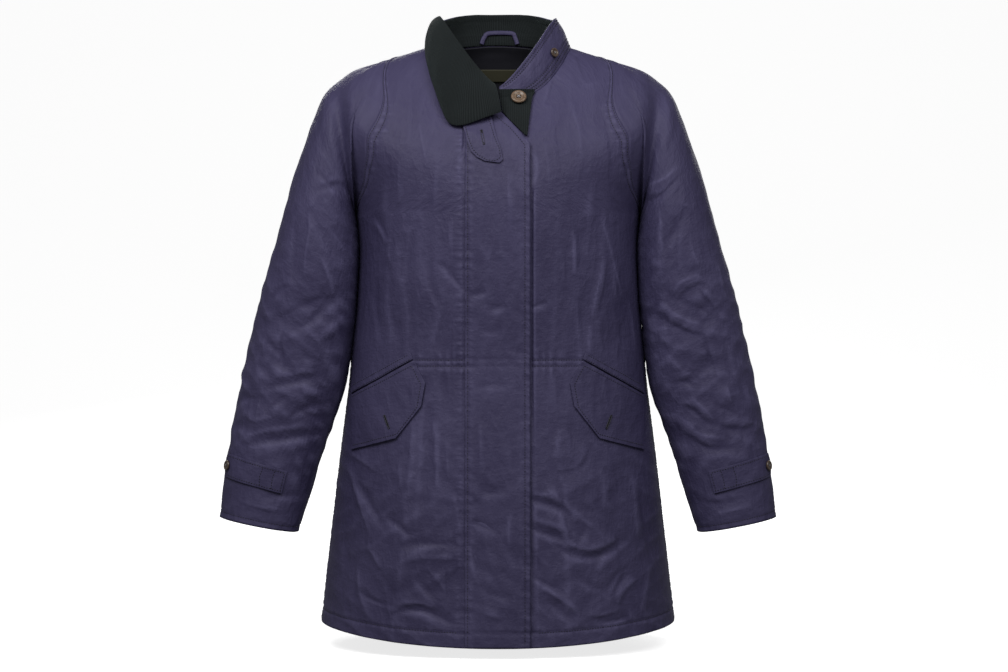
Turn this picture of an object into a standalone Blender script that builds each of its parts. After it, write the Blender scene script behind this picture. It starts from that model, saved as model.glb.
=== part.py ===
"""A waxed cotton raglan coat, filled out as it is worn, with a corduroy collar.

Metres, +Z up, and the front looks along -Y. The origin lies between the two side neck points, where the
coat rests on the shoulders. Each piece of cloth is an open surface with a Solidify wall on its inner side.
The body is a loft through level rings, each sleeve is a loft from its raglan seam to its cuff, and what is
sewn on a panel is made from that panel's points, moved out.
"""
from collections import namedtuple

import bpy
import numpy as np
from mathutils import Vector

# ---- Driving sizes, in metres ---------------------------------------------------------------------------
CLOTH = 0.0016            # wall of the waxed cotton
TRIM = 0.0013             # wall of the fly, flaps and tabs
CORDUROY = 0.0018         # wall of the corduroy
LABEL = 0.0010            # wall of the label and the lining
SEAM_GAP = 0.0004         # pieces stand this far apart where they are sewn
LAYER_GAP = 0.0006        # a piece that lies on another stands this far off it
FLY_GAP = 0.0010          # the same for the long fly, which bridges the fronts
ABOVE_ROWS = 14           # rows of points between the neck seam and the underarm
BELOW_ROWS = 14           # rows of points between the underarm and the hem
FRONT_COLUMNS = 12
BACK_COLUMNS = 21
CLOSE_RINGS = 6           # rings at the top of a sleeve that lie close together
NECK_COLUMNS = 3          # points of a sleeve along the neck seam
BUTTON_STEPS = 16

# Rings of the body, from the neck seam to the hem. dip is how quickly a ring leaves its side height.
Ring = namedtuple("Ring", "half_width front back side_z front_z back_z square dip back_dip")
BODY_RINGS = {
    "neck seam":      (0.1060, 0.096, 0.082, 0.0020, -0.0820, 0.0180, 2.30, 3.0, 2.0),
    "yoke":           (0.1430, 0.112, 0.100, -0.0100, -0.1080, -0.0080, 2.30, 2.8, 2.0),
    "shoulder":       (0.2000, 0.131, 0.126, -0.0290, -0.1420, -0.0650, 2.30, 2.6, 2.0),
    "shoulder point": (0.2550, 0.143, 0.140, -0.0730, -0.1850, -0.1380, 2.30, 2.4, 2.0),
    "underarm":       (0.2035, 0.150, 0.141, -0.2450, -0.2450, -0.2450, 2.35, 2.0, 2.0),
    "rib":            (0.2028, 0.147, 0.131, -0.3600, -0.3600, -0.3600, 2.35, 2.0, 2.0),
    "waist":          (0.2126, 0.144, 0.127, -0.4590, -0.4590, -0.4590, 2.35, 2.0, 2.0),
    "hip":            (0.2290, 0.153, 0.141, -0.5900, -0.5930, -0.5900, 2.35, 2.0, 2.0),
    "skirt":          (0.2450, 0.163, 0.154, -0.7285, -0.7380, -0.7310, 2.35, 2.0, 2.0),
    "hem":            (0.2560, 0.171, 0.163, -0.8270, -0.8470, -0.8370, 2.35, 2.0, 2.0),
}
UNDERARM_LEVEL = 4.0
HEM_LEVEL = 9.0

# The collar stands between its neck seam, just above the body's, and its top edge
COLLAR_RINGS = {
    "neck seam": (0.1057, 0.0960, 0.0820, 0.0026, -0.0814, 0.0186, 2.30, 3.0, 2.0),
    "middle":    (0.0960, 0.0965, 0.0845, 0.0250, -0.0735, 0.0420, 2.30, 2.0, 3.0),
    "top edge":  (0.0845, 0.0955, 0.0850, 0.0450, -0.0660, 0.0635, 2.30, 1.3, 4.0),
}

# The raglan seams, as angles round the body from centre front
Seam = namedtuple("Seam", "level front_deg back_deg")
RAGLAN_SEAM = (
    (0.0, 104.0, 134.0),
    (1.0, 92.0, 130.0),
    (2.0, 52.0, 130.0),
    (3.0, 43.0, 134.0),
    (3.5, 51.0, 127.0),
    (3.8, 66.0, 113.0),
    (4.0, 90.0, 90.0),
)

# Rings of a sleeve, each from its outer edge to its inner edge as seen from the front
ArmRing = namedtuple("ArmRing", "outer_x outer_z inner_x inner_z front_y back_y square")
SLEEVE_RINGS = {
    "cap":            (0.2120, -0.0330, 0.2060, -0.2475, -0.094, 0.096, 2.20),
    "armhole fold":   (0.2330, -0.0470, 0.2052, -0.2500, -0.081, 0.087, 2.20),
    "shoulder point": (0.2490, -0.0630, 0.2044, -0.2530, -0.088, 0.084, 2.20),
    "deltoid":        (0.2670, -0.1030, 0.2034, -0.2590, -0.092, 0.075, 2.15),
    "upper arm":      (0.2840, -0.1550, 0.2018, -0.2700, -0.096, 0.061, 2.15),
    "bicep":          (0.3025, -0.2170, 0.2006, -0.2940, -0.099, 0.046, 2.15),
    "above elbow":    (0.3225, -0.2910, 0.2014, -0.3450, -0.098, 0.039, 2.15),
    "elbow":          (0.3435, -0.3640, 0.2058, -0.4050, -0.096, 0.040, 2.15),
    "forearm":        (0.3640, -0.4517, 0.2190, -0.4880, -0.092, 0.037, 2.15),
    "low forearm":    (0.3800, -0.5320, 0.2460, -0.5680, -0.091, 0.030, 2.15),
    "wrist":          (0.3930, -0.6190, 0.2720, -0.6520, -0.093, 0.016, 2.15),
    "cuff hem":       (0.3990, -0.6746, 0.2860, -0.6970, -0.094, 0.004, 2.15),
}
SEAM_SPREAD = 0.75        # spreads the raglan seam's points round the arm as its rings need them
SEAM_RUN_ON = 0.09        # how far round the body the sleeve follows its surface past the seam, in radians
SEAM_RUN_DOWN = 0.16      # the same past the neck seam, in levels
SHOULDER_TURNS = (0.42, 0.58)   # between these turns that direction swings from the front seam to the back
UNDERARM_FADE = 0.3       # over this share of the turns from the underarm the run-on fades in
UNDERARM_BLEND = 0.4      # the share of the cap's ring in the run-on ring at the underarm

# Soft folds: a line across and down the piece, its half width and its height. On the body the line is in
# x and z; on a sleeve it is in turns round the arm and rows down it.
Fold = namedtuple("Fold", "start_across start_down end_across end_down half_width height")
FOLD_END = 0.12           # a fold starts and ends this far into its rise
FRONT_FOLDS = (
    (-0.155, -0.200, -0.150, -0.400, 0.020, 0.0030),
    (-0.095, -0.180, -0.105, -0.330, 0.018, -0.0020),
    (0.150, -0.210, 0.140, -0.410, 0.020, 0.0030),
    (0.100, -0.190, 0.115, -0.300, 0.018, -0.0020),
    (-0.120, -0.600, -0.150, -0.860, 0.026, 0.0035),
    (-0.060, -0.640, -0.070, -0.860, 0.022, -0.0030),
    (0.085, -0.560, 0.100, -0.860, 0.024, 0.0030),
    (0.160, -0.600, 0.185, -0.860, 0.022, -0.0035),
)
BACK_FOLDS = (
    (-0.120, -0.120, -0.100, -0.330, 0.022, 0.0030),
    (0.125, -0.130, 0.100, -0.350, 0.022, 0.0030),
    (-0.060, -0.430, -0.090, -0.840, 0.028, 0.0045),
    (0.010, -0.480, 0.015, -0.840, 0.026, -0.0040),
    (0.075, -0.420, 0.110, -0.840, 0.028, 0.0045),
)
SLEEVE_FOLDS = (
    (0.30, 0.34, 0.16, 0.42, 0.014, -0.0035),
    (0.18, 0.50, 0.36, 0.60, 0.013, -0.0040),
    (0.33, 0.66, 0.14, 0.70, 0.013, -0.0035),
    (0.17, 0.76, 0.34, 0.82, 0.012, -0.0030),
    (0.66, 0.36, 0.84, 0.44, 0.014, -0.0035),
    (0.82, 0.52, 0.64, 0.60, 0.014, -0.0040),
    (0.68, 0.70, 0.84, 0.76, 0.013, -0.0030),
)
ARM_GIRTH = 0.42          # lengths that one turn and one whole row stand for
ARM_LENGTH = 0.66

# Pieces that lie on the fronts, each between two side lines of (x, z) points from its top to its foot
FLY_HALF = 0.0453
FLY_FOOT_Z = -0.8462
FLY_ROWS = 30
FLY_CROWD = 1.5           # above 1, rows lie closer together towards the top
FLY_TOP = ((-FLY_HALF, -0.098), (0.004, -0.103), (0.022, -0.123), (FLY_HALF, -0.150))
THROAT_TAB_LINES = (
    ((-0.0520, -0.1080), (-0.0486, -0.1245), (-0.0444, -0.1427), (-0.0374, -0.1609), (-0.0290, -0.1692),
     (-0.0179, -0.1748), (0.0025, -0.1776)),
    ((-0.0140, -0.1000), (-0.0081, -0.1162), (-0.0011, -0.1427), (0.0045, -0.1595), (0.0073, -0.1734)),
)
COLLAR_TIP_LINES = (
    ((0.0010, -0.0690), (0.0030, -0.0860), (0.0062, -0.1030), (0.0171, -0.1169), (0.0380, -0.1379)),
    ((0.0525, -0.0680), (0.0479, -0.0861), (0.0451, -0.1071), (0.0412, -0.1385)),
)
# The flap of the pocket at the wearer's right; the other is its mirror image
FLAP_LINES = (
    ((-0.2085, -0.5015), (-0.2060, -0.5779)),
    ((-0.1170, -0.4509), (-0.1002, -0.4823), (-0.1058, -0.5144), (-0.1412, -0.5596)),
)
BAND_LINES = (
    ((-0.2080, -0.4870), (-0.2085, -0.4990)),
    ((-0.1215, -0.4400), (-0.1175, -0.4488)),
)
FLAP_CROWD = 1.8          # above 1, columns lie closer together towards the side seam

COLLAR_OPENING = 0.012    # half the collar's opening at centre front, in radians
COLLAR_SHAPE = (4, 41)    # rows and columns of the standing collar
# The turned-down collar's outer edge in x, y and z, from the side of the neck to the front tip
FALL_EDGE = (
    (-0.0890, 0.022, 0.0420),
    (-0.1040, 0.004, 0.0200),
    (-0.1120, -0.028, -0.0040),
    (-0.1010, -0.072, -0.0390),
    (-0.0900, -0.100, -0.0700),
    (-0.0800, -0.1150, -0.0960),
    (-0.0690, -0.1240, -0.1180),
    (-0.0500, -0.1290, -0.1225),
    (-0.0150, -0.1290, -0.1110),
    (0.0050, -0.1260, -0.1036),
)
FALL_DEG = (-100.0, -2.0)
FALL_SHAPE = (8, 15)
FALL_OUT = 0.0004         # its roll stands this far out from the standing collar's top edge
FALL_UP = 0.0030          # and this far above it
FALL_CROWN = 0.012        # how far it bulges between its roll and its edge
CROWN_RISE = 0.9          # the upward share of that bulge
CROWN_SQUARE = 0.8        # below 1, the bulge is fuller near the roll and the edge

# What lies inside the back of the neck, in degrees round from centre front and in levels
LINING_DEG = (136.0, 224.0)
LINING_LEVELS = (0.02, 2.0)
LINING_SHAPE = (7, 11)
LABEL_DEG = (171.6, 188.4)
LABEL_LEVELS = (1.13, 1.46)
LABEL_SHAPE = (4, 5)
# The hanger loop's middle line on the inside of the collar, in degrees and levels of the collar
LOOP_PATH = ((166.6, 0.04), (168.0, 0.44), (170.5, 0.70), (185.9, 0.70), (189.6, 0.44), (191.3, 0.04))
LOOP_HALF = 0.0028
LOOP_COLUMNS = 14

# Buttons: where their middle lies, and their radius and height
BUTTON_GAP = 0.0001       # the least gap below a flat button on the curved cloth
NECK_BUTTON_X = 0.0290
NECK_BUTTON_Z = -0.0850
COLLAR_BUTTON_ANGLE = 0.90
COLLAR_BUTTON_LEVEL = 0.85
NECK_BUTTON = {"radius": 0.0110, "height": 0.0040}
COLLAR_BUTTON = {"radius": 0.0068, "height": 0.0030}
CUFF_BUTTON = {"radius": 0.0072, "height": 0.0030}

# The cuff tab runs from its sewn patch at the front to its point round the outer side
TAB_TURNS = (0.185, 0.455)
TAB_ROW = 0.895
TAB_HALF = 0.0155
TAB_POINT = 0.02          # how far its point stands past its corners, in turns
TAB_COLUMNS = 11
TAB_BUTTON_TURN = 0.415

# Finishes
NAVY = (0.060, 0.056, 0.103)
GREEN = (0.012, 0.017, 0.015)
LINING = (0.008, 0.008, 0.016)
OLIVE = (0.045, 0.042, 0.022)
HORN = (0.200, 0.110, 0.055)
BROWN = (0.090, 0.050, 0.030)
WAXED = 0.5               # roughness of the waxed cloth, of the corduroy's nap and of the buttons
NAP = 0.9
POLISHED = 0.35

STEP = 1e-4               # of an angle or a level, for the direction of a surface
HALVINGS = 34             # halvings that find a level


# ---- Lofts ----------------------------------------------------------------------------------------------
def hermite(knots, values, query):
    """A smooth curve through values at knots, read at query; its slopes come from the neighbours."""
    knots = np.asarray(knots, float)
    values = np.asarray(values, float)
    query = np.clip(np.asarray(query, float), knots[0], knots[-1])
    slopes = np.gradient(values, knots, axis=0)
    low = np.clip(np.searchsorted(knots, query, side="right") - 1, 0, len(knots) - 2)
    shape = query.shape + (1,) * (values.ndim - 1)
    span = (knots[low + 1] - knots[low]).reshape(shape)
    f = (query - knots[low]).reshape(shape) / span
    return ((1 + 2 * f) * (1 - f) ** 2 * values[low] + f * (1 - f) ** 2 * span * slopes[low]
            + f * f * (3 - 2 * f) * values[low + 1] + f * f * (f - 1) * span * slopes[low + 1])


def ring_sizes(rings, level):
    """The named sizes of the ring at each level, one array for each name."""
    table = np.array(list(rings.values()))
    return Ring(*np.moveaxis(hermite(np.arange(len(table)), table, level), -1, 0))


def ring_point(rings, angle, level):
    """A point of a loft: angle from centre front to centre back in radians, level down its rings."""
    ring = ring_sizes(rings, level)
    across = np.abs(np.sin(angle)) ** (2 / ring.square)
    along = np.abs(np.cos(angle)) ** (2 / ring.square)
    ahead = np.cos(angle) > 0
    x = ring.half_width * across * np.sign(np.sin(angle))
    y = np.where(ahead, -ring.front * along, ring.back * along)
    front_height = ring.front_z + (ring.side_z - ring.front_z) * across ** ring.dip
    back_height = ring.back_z + (ring.side_z - ring.back_z) * across ** ring.back_dip
    return np.stack(np.broadcast_arrays(x, y, np.where(ahead, front_height, back_height)), -1)


def unit(vectors):
    """Vectors drawn to unit length."""
    return vectors / np.maximum(np.linalg.norm(vectors, axis=-1, keepdims=True), 1e-18)


def grid_normals(points, closed=False):
    """Unit normals of a grid of points: outward where its rows run down and its columns run from left to
    right, as seen from outside."""
    down = np.gradient(points, axis=0)
    if closed:
        across = (np.roll(points, -1, axis=1) - np.roll(points, 1, axis=1)) / 2
    else:
        across = np.gradient(points, axis=1)
    return unit(np.cross(down, across))


def fold_height(folds, first, second, scale=(1.0, 1.0)):
    """The height of soft folds at two coordinates: each is a bell across its line, fading past its ends."""
    height = np.zeros(np.broadcast(first, second).shape)
    for fold in (Fold(*row) for row in folds):
        start = np.array([fold.start_across * scale[0], fold.start_down * scale[1]])
        way = np.array([fold.end_across * scale[0], fold.end_down * scale[1]]) - start
        off_a = first * scale[0] - start[0]
        off_b = second * scale[1] - start[1]
        along = np.clip((off_a * way[0] + off_b * way[1]) / (way @ way), 0, 1)
        apart = (off_a - along * way[0]) ** 2 + (off_b - along * way[1]) ** 2
        rise = np.sin(np.pi * (FOLD_END + (1 - 2 * FOLD_END) * along))
        height += fold.height * np.exp(-apart / fold.half_width ** 2) * rise
    return height


# ---- The body and what lies on it ------------------------------------------------------------------------
def seam_angle(level, which):
    """The raglan seam's angle round the body, front or back; below the underarm it is the side seam."""
    seam = Seam(*np.array(RAGLAN_SEAM).T)
    angle = np.radians(hermite(seam.level, getattr(seam, which), level))
    return np.where(np.asarray(level) < UNDERARM_LEVEL, angle, np.pi / 2)


def body_levels():
    """Levels of the panels' rows, which the sleeves' columns share along the raglan seams."""
    above = np.linspace(0, UNDERARM_LEVEL, ABOVE_ROWS)
    below = np.linspace(UNDERARM_LEVEL, HEM_LEVEL, BELOW_ROWS)
    return np.concatenate([above, below[1:]])


def folded_body(angle, level):
    """The body's outer surface with its soft folds, moved along the level rings' outward directions."""
    angle, level = np.broadcast_arrays(angle, level)
    plain = ring_point(BODY_RINGS, angle, level)
    ahead = np.cos(angle) > 0
    height = np.where(ahead, fold_height(FRONT_FOLDS, plain[..., 0], plain[..., 2]),
                      fold_height(BACK_FOLDS, plain[..., 0], plain[..., 2]))
    outward = np.stack([np.sin(angle), -np.cos(angle), np.zeros_like(plain[..., 0])], -1)
    return plain + height[..., None] * outward * np.abs(np.cos(angle))[..., None]


def on_front(x, z, lift):
    """Points over the fronts at x and z as seen from the front, lift off the cloth: x and the ring's formula
    give the height at a level, and halving finds the level that has z."""
    low = np.zeros(np.broadcast(x, z).shape)
    high = np.full_like(low, HEM_LEVEL)
    for _ in range(HALVINGS):
        level = (low + high) / 2
        ring = ring_sizes(BODY_RINGS, level)
        across = np.clip(np.abs(x) / ring.half_width, 0, 1)
        too_high = ring.front_z + (ring.side_z - ring.front_z) * across ** ring.dip > z
        low = np.where(too_high, level, low)
        high = np.where(too_high, high, level)
    angle = np.arcsin(np.clip(across, 0, 0.9999) ** (ring.square / 2)) * np.sign(x)
    point = folded_body(angle, level)
    side_point = folded_body(angle + STEP, level)
    down_point = folded_body(angle, level + STEP)
    normal = unit(np.cross(down_point - point, side_point - point))
    point[..., 2] = np.where(low > 0, point[..., 2], z)
    return point + normal * lift


def read_line(line, share):
    """A line of points read at shares of its length."""
    line = np.array(line, float)
    length = np.concatenate([[0], np.cumsum(np.linalg.norm(np.diff(line, axis=0), axis=1))])
    return np.stack([np.interp(share * length[-1], length, line[:, k]) for k in range(line.shape[1])], -1)


def in_collar(angle, level, depth):
    """Points at a depth inside the standing collar's outer surface."""
    point = ring_point(COLLAR_RINGS, angle, level)
    side_point = ring_point(COLLAR_RINGS, angle + STEP, level)
    up_point = ring_point(COLLAR_RINGS, angle, level + STEP)
    out = unit(np.cross(side_point - point, up_point - point))
    return point - out * depth


# ---- Sleeves --------------------------------------------------------------------------------------------
def armhole_points():
    """Angle and level of the sleeve's seam points: the underarm, the front seam up, the neck, the back seam
    down. The panels' rows have the same points."""
    levels = body_levels()[:ABOVE_ROWS]
    front = np.stack([seam_angle(levels[::-1], "front_deg"), levels[::-1]], -1)
    back = np.stack([seam_angle(levels, "back_deg"), levels], -1)
    front[0, 0] = back[-1, 0] = np.pi / 2
    neck_angle = np.linspace(front[-1, 0], back[0, 0], NECK_COLUMNS + 2)[1:-1]
    neck = np.stack([neck_angle, np.zeros(NECK_COLUMNS)], -1)
    return np.concatenate([front, neck, back[:-1]])


def sleeve_rings():
    """All rings of the wearer's left sleeve at the same turns round the arm, and those turns."""
    seam = armhole_points()
    loop = ring_point(BODY_RINGS, seam[:, 0], seam[:, 1])
    steps = np.linalg.norm(np.roll(loop, -1, axis=0) - loop, axis=1)
    length = np.concatenate([[0], np.cumsum(steps)])
    top = ABOVE_ROWS + 1
    turn = np.interp(length[:-1], [0, length[top], length[-1]], [0, 0.5, 1])
    share = (1 - np.abs(1 - 2 * turn)) ** SEAM_SPREAD
    turn = np.where(turn <= 0.5, share / 2, 1 - share / 2)
    swing = np.interp(turn, SHOULDER_TURNS, (0, np.pi))
    fade = np.clip(share / UNDERARM_FADE, 0, 1)
    run_on = ring_point(BODY_RINGS, seam[:, 0] + SEAM_RUN_ON * np.cos(swing) * fade,
                        seam[:, 1] + SEAM_RUN_DOWN * np.sin(swing) * fade)
    table = np.array(list(SLEEVE_RINGS.values()))
    arm = ArmRing(*table.T[..., None])
    c = np.cos(2 * np.pi * turn)
    s = np.sin(2 * np.pi * turn)
    inwards = np.sign(c) * np.abs(c) ** (2 / arm.square)
    ahead = np.sign(s) * np.abs(s) ** (2 / arm.square)
    x = (arm.outer_x + arm.inner_x) / 2 + (arm.inner_x - arm.outer_x) / 2 * inwards
    y = (arm.front_y + arm.back_y) / 2 + (arm.front_y - arm.back_y) / 2 * ahead
    z = (arm.outer_z + arm.inner_z) / 2 + (arm.inner_z - arm.outer_z) / 2 * inwards
    rings = np.stack([x, y, z], -1)
    fade = fade[:, None]
    underarm = loop * (1 - UNDERARM_BLEND) + rings[0] * UNDERARM_BLEND
    first = run_on * fade + underarm * (1 - fade)
    return np.concatenate([loop[None], first[None], rings]), turn


def ring_rows(rings):
    """Where each ring of a sleeve lies along it, from 0 at the raglan seam to 1 at the cuff's hem."""
    steps = np.linalg.norm(np.diff(rings, axis=0), axis=2).mean(axis=1)
    knots = np.concatenate([[0], np.cumsum(steps)])
    return knots / knots[-1]


def sleeve_surface(rows):
    """A grid of points of the wearer's left sleeve at rows from 0 to 1, and the turns of its columns."""
    rings, turn = sleeve_rings()
    points = hermite(ring_rows(rings), rings, rows)
    height = fold_height(SLEEVE_FOLDS, turn[None, :], rows[:, None], (ARM_GIRTH, ARM_LENGTH))
    return points + grid_normals(points, closed=True) * height[..., None], turn


def sleeve_patch(turns, rows, lift):
    """Points over the wearer's left sleeve at any turn and row, lift off the cloth."""
    fine_rows = np.linspace(0, 1, 121)
    surface, turn = sleeve_surface(fine_rows)
    normal = grid_normals(surface, closed=True)
    field = np.concatenate([surface, normal], -1)
    columns = np.concatenate([turn, [1.0]])
    field = np.concatenate([field, field[:, :1]], axis=1)
    by_turn = hermite(columns, np.moveaxis(field, 1, 0), turns.ravel())
    place = rows.ravel() * (len(fine_rows) - 1)
    low = np.clip(place.astype(int), 0, len(fine_rows) - 2)
    part = (place - low)[:, None]
    each = np.arange(len(place))
    read = by_turn[each, low] * (1 - part) + by_turn[each, low + 1] * part
    return (read[:, :3] + read[:, 3:] * lift).reshape(turns.shape + (3,))


# ---- Objects --------------------------------------------------------------------------------------------
class Workshop:
    """The coat's collection and the materials of its pieces."""

    def __init__(self):
        self.collection = bpy.data.collections.new("waxed_raglan_coat")
        bpy.context.scene.collection.children.link(self.collection)

    def material(self, name, colour, roughness):
        made = bpy.data.materials.new(name)
        made.use_nodes = True
        shader = made.node_tree.nodes["Principled BSDF"]
        shader.inputs["Base Color"].default_value = (*colour, 1.0)
        shader.inputs["Roughness"].default_value = roughness
        return made

    def add(self, name, mesh, colour, roughness):
        obj = bpy.data.objects.new(name, mesh)
        self.collection.objects.link(obj)
        mesh.materials.append(self.material(name + "_finish", colour, roughness))
        mesh.shade_smooth()
        return obj

    def sheet(self, name, points, wall, colour, roughness=WAXED, closed=False):
        """A cloth piece: a grid of outer points, rows by columns, with its wall on the inner side."""
        rows, columns = points.shape[:2]
        index = np.arange(rows * columns).reshape(rows, columns)
        right = np.roll(index, -1, axis=1) if closed else index[:, 1:]
        left = index if closed else index[:, :-1]
        quads = np.stack([left[:-1], left[1:], right[1:], right[:-1]], -1).reshape(-1, 4)
        mesh = bpy.data.meshes.new(name)
        mesh.from_pydata(points.reshape(-1, 3).tolist(), [], quads.tolist())
        obj = self.add(name, mesh, colour, roughness)
        solid = obj.modifiers.new("Wall", "SOLIDIFY")
        solid.thickness = wall
        solid.offset = -1
        return obj

    def button(self, name, place, outward, radius, height, colour):
        """A dished button, turned from its profile, with its back on the cloth and its face outward."""
        profile = ((0.0, 0.72), (0.45, 0.72), (0.62, 0.80), (0.72, 1.0), (0.88, 1.0), (1.0, 0.72), (1.0, 0.3),
                   (0.86, 0.0), (0.0, 0.0))
        points = [(radius * r, 0.0, height * h) for r, h in profile]
        mesh = bpy.data.meshes.new(name)
        mesh.from_pydata(points, [(k, k + 1) for k in range(len(points) - 1)], [])
        obj = self.add(name, mesh, colour, POLISHED)
        turned = obj.modifiers.new("Turned", "SCREW")
        turned.steps = turned.render_steps = BUTTON_STEPS
        turned.use_merge_vertices = True
        turned.merge_threshold = 0.00001
        obj.location = place
        obj.rotation_mode = "QUATERNION"
        obj.rotation_quaternion = Vector(outward).to_track_quat("Z", "Y")
        return obj


def mirrored(points, side):
    """A grid for the +X side as it is, or for the -X side mirrored, with its columns turned round."""
    if side > 0:
        return points
    return (points * np.array([-1.0, 1.0, 1.0]))[:, ::-1]


def seam_inset(points, which):
    """Draws a grid's outer column in from its seam by the seam gap, along its rows."""
    inner = {0: 1, -1: -2}[which]
    points[:, which] += unit(points[:, inner] - points[:, which]) * SEAM_GAP
    return points


def build_body(shop):
    levels = body_levels()[:, None]
    share = np.linspace(0, 1, FRONT_COLUMNS)[None, :]
    for name, side in (("front_right", -1), ("front_left", 1)):
        angle = side * seam_angle(levels, "front_deg") * share
        points = folded_body(angle, levels)
        if side < 0:
            points = points[:, ::-1]
        points = seam_inset(seam_inset(points, 0), -1)
        shop.sheet(name, points, CLOTH, NAVY)
    share = np.linspace(1, -1, BACK_COLUMNS)[None, :]
    angle = np.pi - (np.pi - seam_angle(levels, "back_deg")) * share
    back = folded_body(angle, levels)
    shop.sheet("back", seam_inset(seam_inset(back, 0), -1), CLOTH, NAVY)


def build_sleeves(shop):
    knots = ring_rows(sleeve_rings()[0])
    last = len(knots) - 1
    half_steps = np.linspace(CLOSE_RINGS, last, 2 * (last - CLOSE_RINGS) + 1)
    places = np.concatenate([np.arange(CLOSE_RINGS), half_steps])
    points, _ = sleeve_surface(np.interp(places, np.arange(len(knots)), knots))
    for name, side in (("sleeve_right", -1), ("sleeve_left", 1)):
        shop.sheet(name, mirrored(points, side), CLOTH, NAVY, closed=True)


def between_lines(lines, rows, columns, lift, side=1, crowd=1.0):
    """A piece on the fronts, ruled between two side lines and lifted off the cloth; crowd above 1 brings its
    columns closer together towards its left line, where the body turns away."""
    share = np.linspace(0, 1, rows)
    left = read_line(lines[0], share)
    right = read_line(lines[1], share)
    across = np.linspace(0, 1, columns)[None, :, None] ** crowd
    flat = left[:, None] * (1 - across) + right[:, None] * across
    if side > 0:
        return on_front(flat[..., 0], flat[..., 1], lift)
    return on_front(-flat[:, ::-1, 0], flat[:, ::-1, 1], lift)


def build_front_trim(shop):
    on_panel = LAYER_GAP + TRIM
    across = np.linspace(-FLY_HALF, FLY_HALF, 7)
    top = np.interp(across, [p[0] for p in FLY_TOP], [p[1] for p in FLY_TOP])
    down = np.linspace(0, 1, FLY_ROWS)[:, None] ** FLY_CROWD
    height = top + (FLY_FOOT_Z - top) * down
    fly_face = FLY_GAP + TRIM
    shop.sheet("storm_fly", on_front(np.broadcast_to(across, height.shape), height, fly_face), TRIM, NAVY)
    on_fly = fly_face + LAYER_GAP + TRIM
    shop.sheet("throat_tab", between_lines(THROAT_TAB_LINES, 9, 5, on_fly), TRIM, NAVY)
    tip = between_lines(COLLAR_TIP_LINES, 9, 6, fly_face + LAYER_GAP + CORDUROY)
    shop.sheet("collar_tip", tip, CORDUROY, GREEN, NAP)
    for name, side in (("right", 1), ("left", -1)):
        flap = between_lines(FLAP_LINES, 8, 9, on_panel + LAYER_GAP, side, FLAP_CROWD)
        band = between_lines(BAND_LINES, 3, 9, on_panel + LAYER_GAP, side, FLAP_CROWD)
        shop.sheet("pocket_flap_" + name, flap, TRIM, NAVY)
        shop.sheet("pocket_band_" + name, band, TRIM, NAVY)


def build_collar(shop):
    rows, columns = COLLAR_SHAPE
    angle = np.linspace(COLLAR_OPENING, 2 * np.pi - COLLAR_OPENING, columns)[None, :]
    stand = ring_point(COLLAR_RINGS, angle, np.linspace(2, 0, rows)[:, None])
    shop.sheet("collar_stand", stand, CLOTH, NAVY)
    facing = stand - grid_normals(stand) * (CLOTH + LAYER_GAP)
    shop.sheet("collar_facing", facing, CORDUROY, GREEN, NAP)


def build_fall(shop):
    rows, columns = FALL_SHAPE
    roll_angle = np.radians(np.linspace(*FALL_DEG, columns))
    out = np.stack([np.sin(roll_angle), -np.cos(roll_angle), np.zeros(columns)], -1)
    roll = ring_point(COLLAR_RINGS, roll_angle, 2.0) + out * FALL_OUT
    roll[:, 2] += FALL_UP
    edge = hermite(np.linspace(0, 1, len(FALL_EDGE)), FALL_EDGE, np.linspace(0, 1, columns))
    across = np.linspace(0, 1, rows)[:, None, None]
    crown = out * FALL_CROWN
    crown[:, 2] = FALL_CROWN * CROWN_RISE
    fall = roll * (1 - across) + edge * across + crown * (4 * across * (1 - across)) ** CROWN_SQUARE
    shop.sheet("collar_fall", fall, CORDUROY, GREEN, NAP)


def build_inside(shop):
    for name, degrees, levels, shape, depth, colour in (
            ("back_lining", LINING_DEG, LINING_LEVELS, LINING_SHAPE, CLOTH + LAYER_GAP, LINING),
            ("neck_label", LABEL_DEG, LABEL_LEVELS, LABEL_SHAPE, CLOTH + 2 * LAYER_GAP + LABEL, OLIVE)):
        angle = np.radians(np.linspace(*degrees, shape[1]))[None, :]
        cloth = folded_body(angle, np.linspace(*levels, shape[0])[:, None])
        shop.sheet(name, cloth - grid_normals(cloth) * depth, LABEL, colour)


def build_cuffs(shop):
    rows = np.array([TAB_ROW - TAB_HALF / ARM_LENGTH, TAB_ROW, TAB_ROW + TAB_HALF / ARM_LENGTH])[:, None]
    turns = np.tile(np.linspace(*TAB_TURNS, TAB_COLUMNS), (len(rows), 1))
    turns[[0, -1], -1] -= TAB_POINT
    tab = sleeve_patch(turns, np.broadcast_to(rows, turns.shape), LAYER_GAP + TRIM)
    place = np.array([[TAB_BUTTON_TURN]])
    row = np.array([[TAB_ROW]])
    seat = sleeve_patch(place, row, 2 * LAYER_GAP + TRIM)[0, 0]
    out = sleeve_patch(place, row, 3 * LAYER_GAP + TRIM)[0, 0] - seat
    for name, side in (("right", -1), ("left", 1)):
        shop.sheet("cuff_tab_" + name, mirrored(tab, side), TRIM, NAVY)
        flip = Vector((side, 1, 1))
        at = Vector(seat) * flip
        shop.button("cuff_button_" + name, at, Vector(out) * flip, colour=BROWN, **CUFF_BUTTON)


def front_seat(x, z, radius, lift):
    """Where a flat round piece rests over the fronts: its middle and its outward direction."""
    around = np.array([(1, 0), (0, 1), (-1, 0), (0, -1), (0, 0)]) * radius
    right, up, left, down, middle = on_front(x + around[:, 0], z + around[:, 1], lift)
    out = unit(np.cross(right - left, up - down))
    rise = max((point - middle) @ out for point in (right, up, left, down))
    return middle + out * max(rise, 0), out


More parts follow.
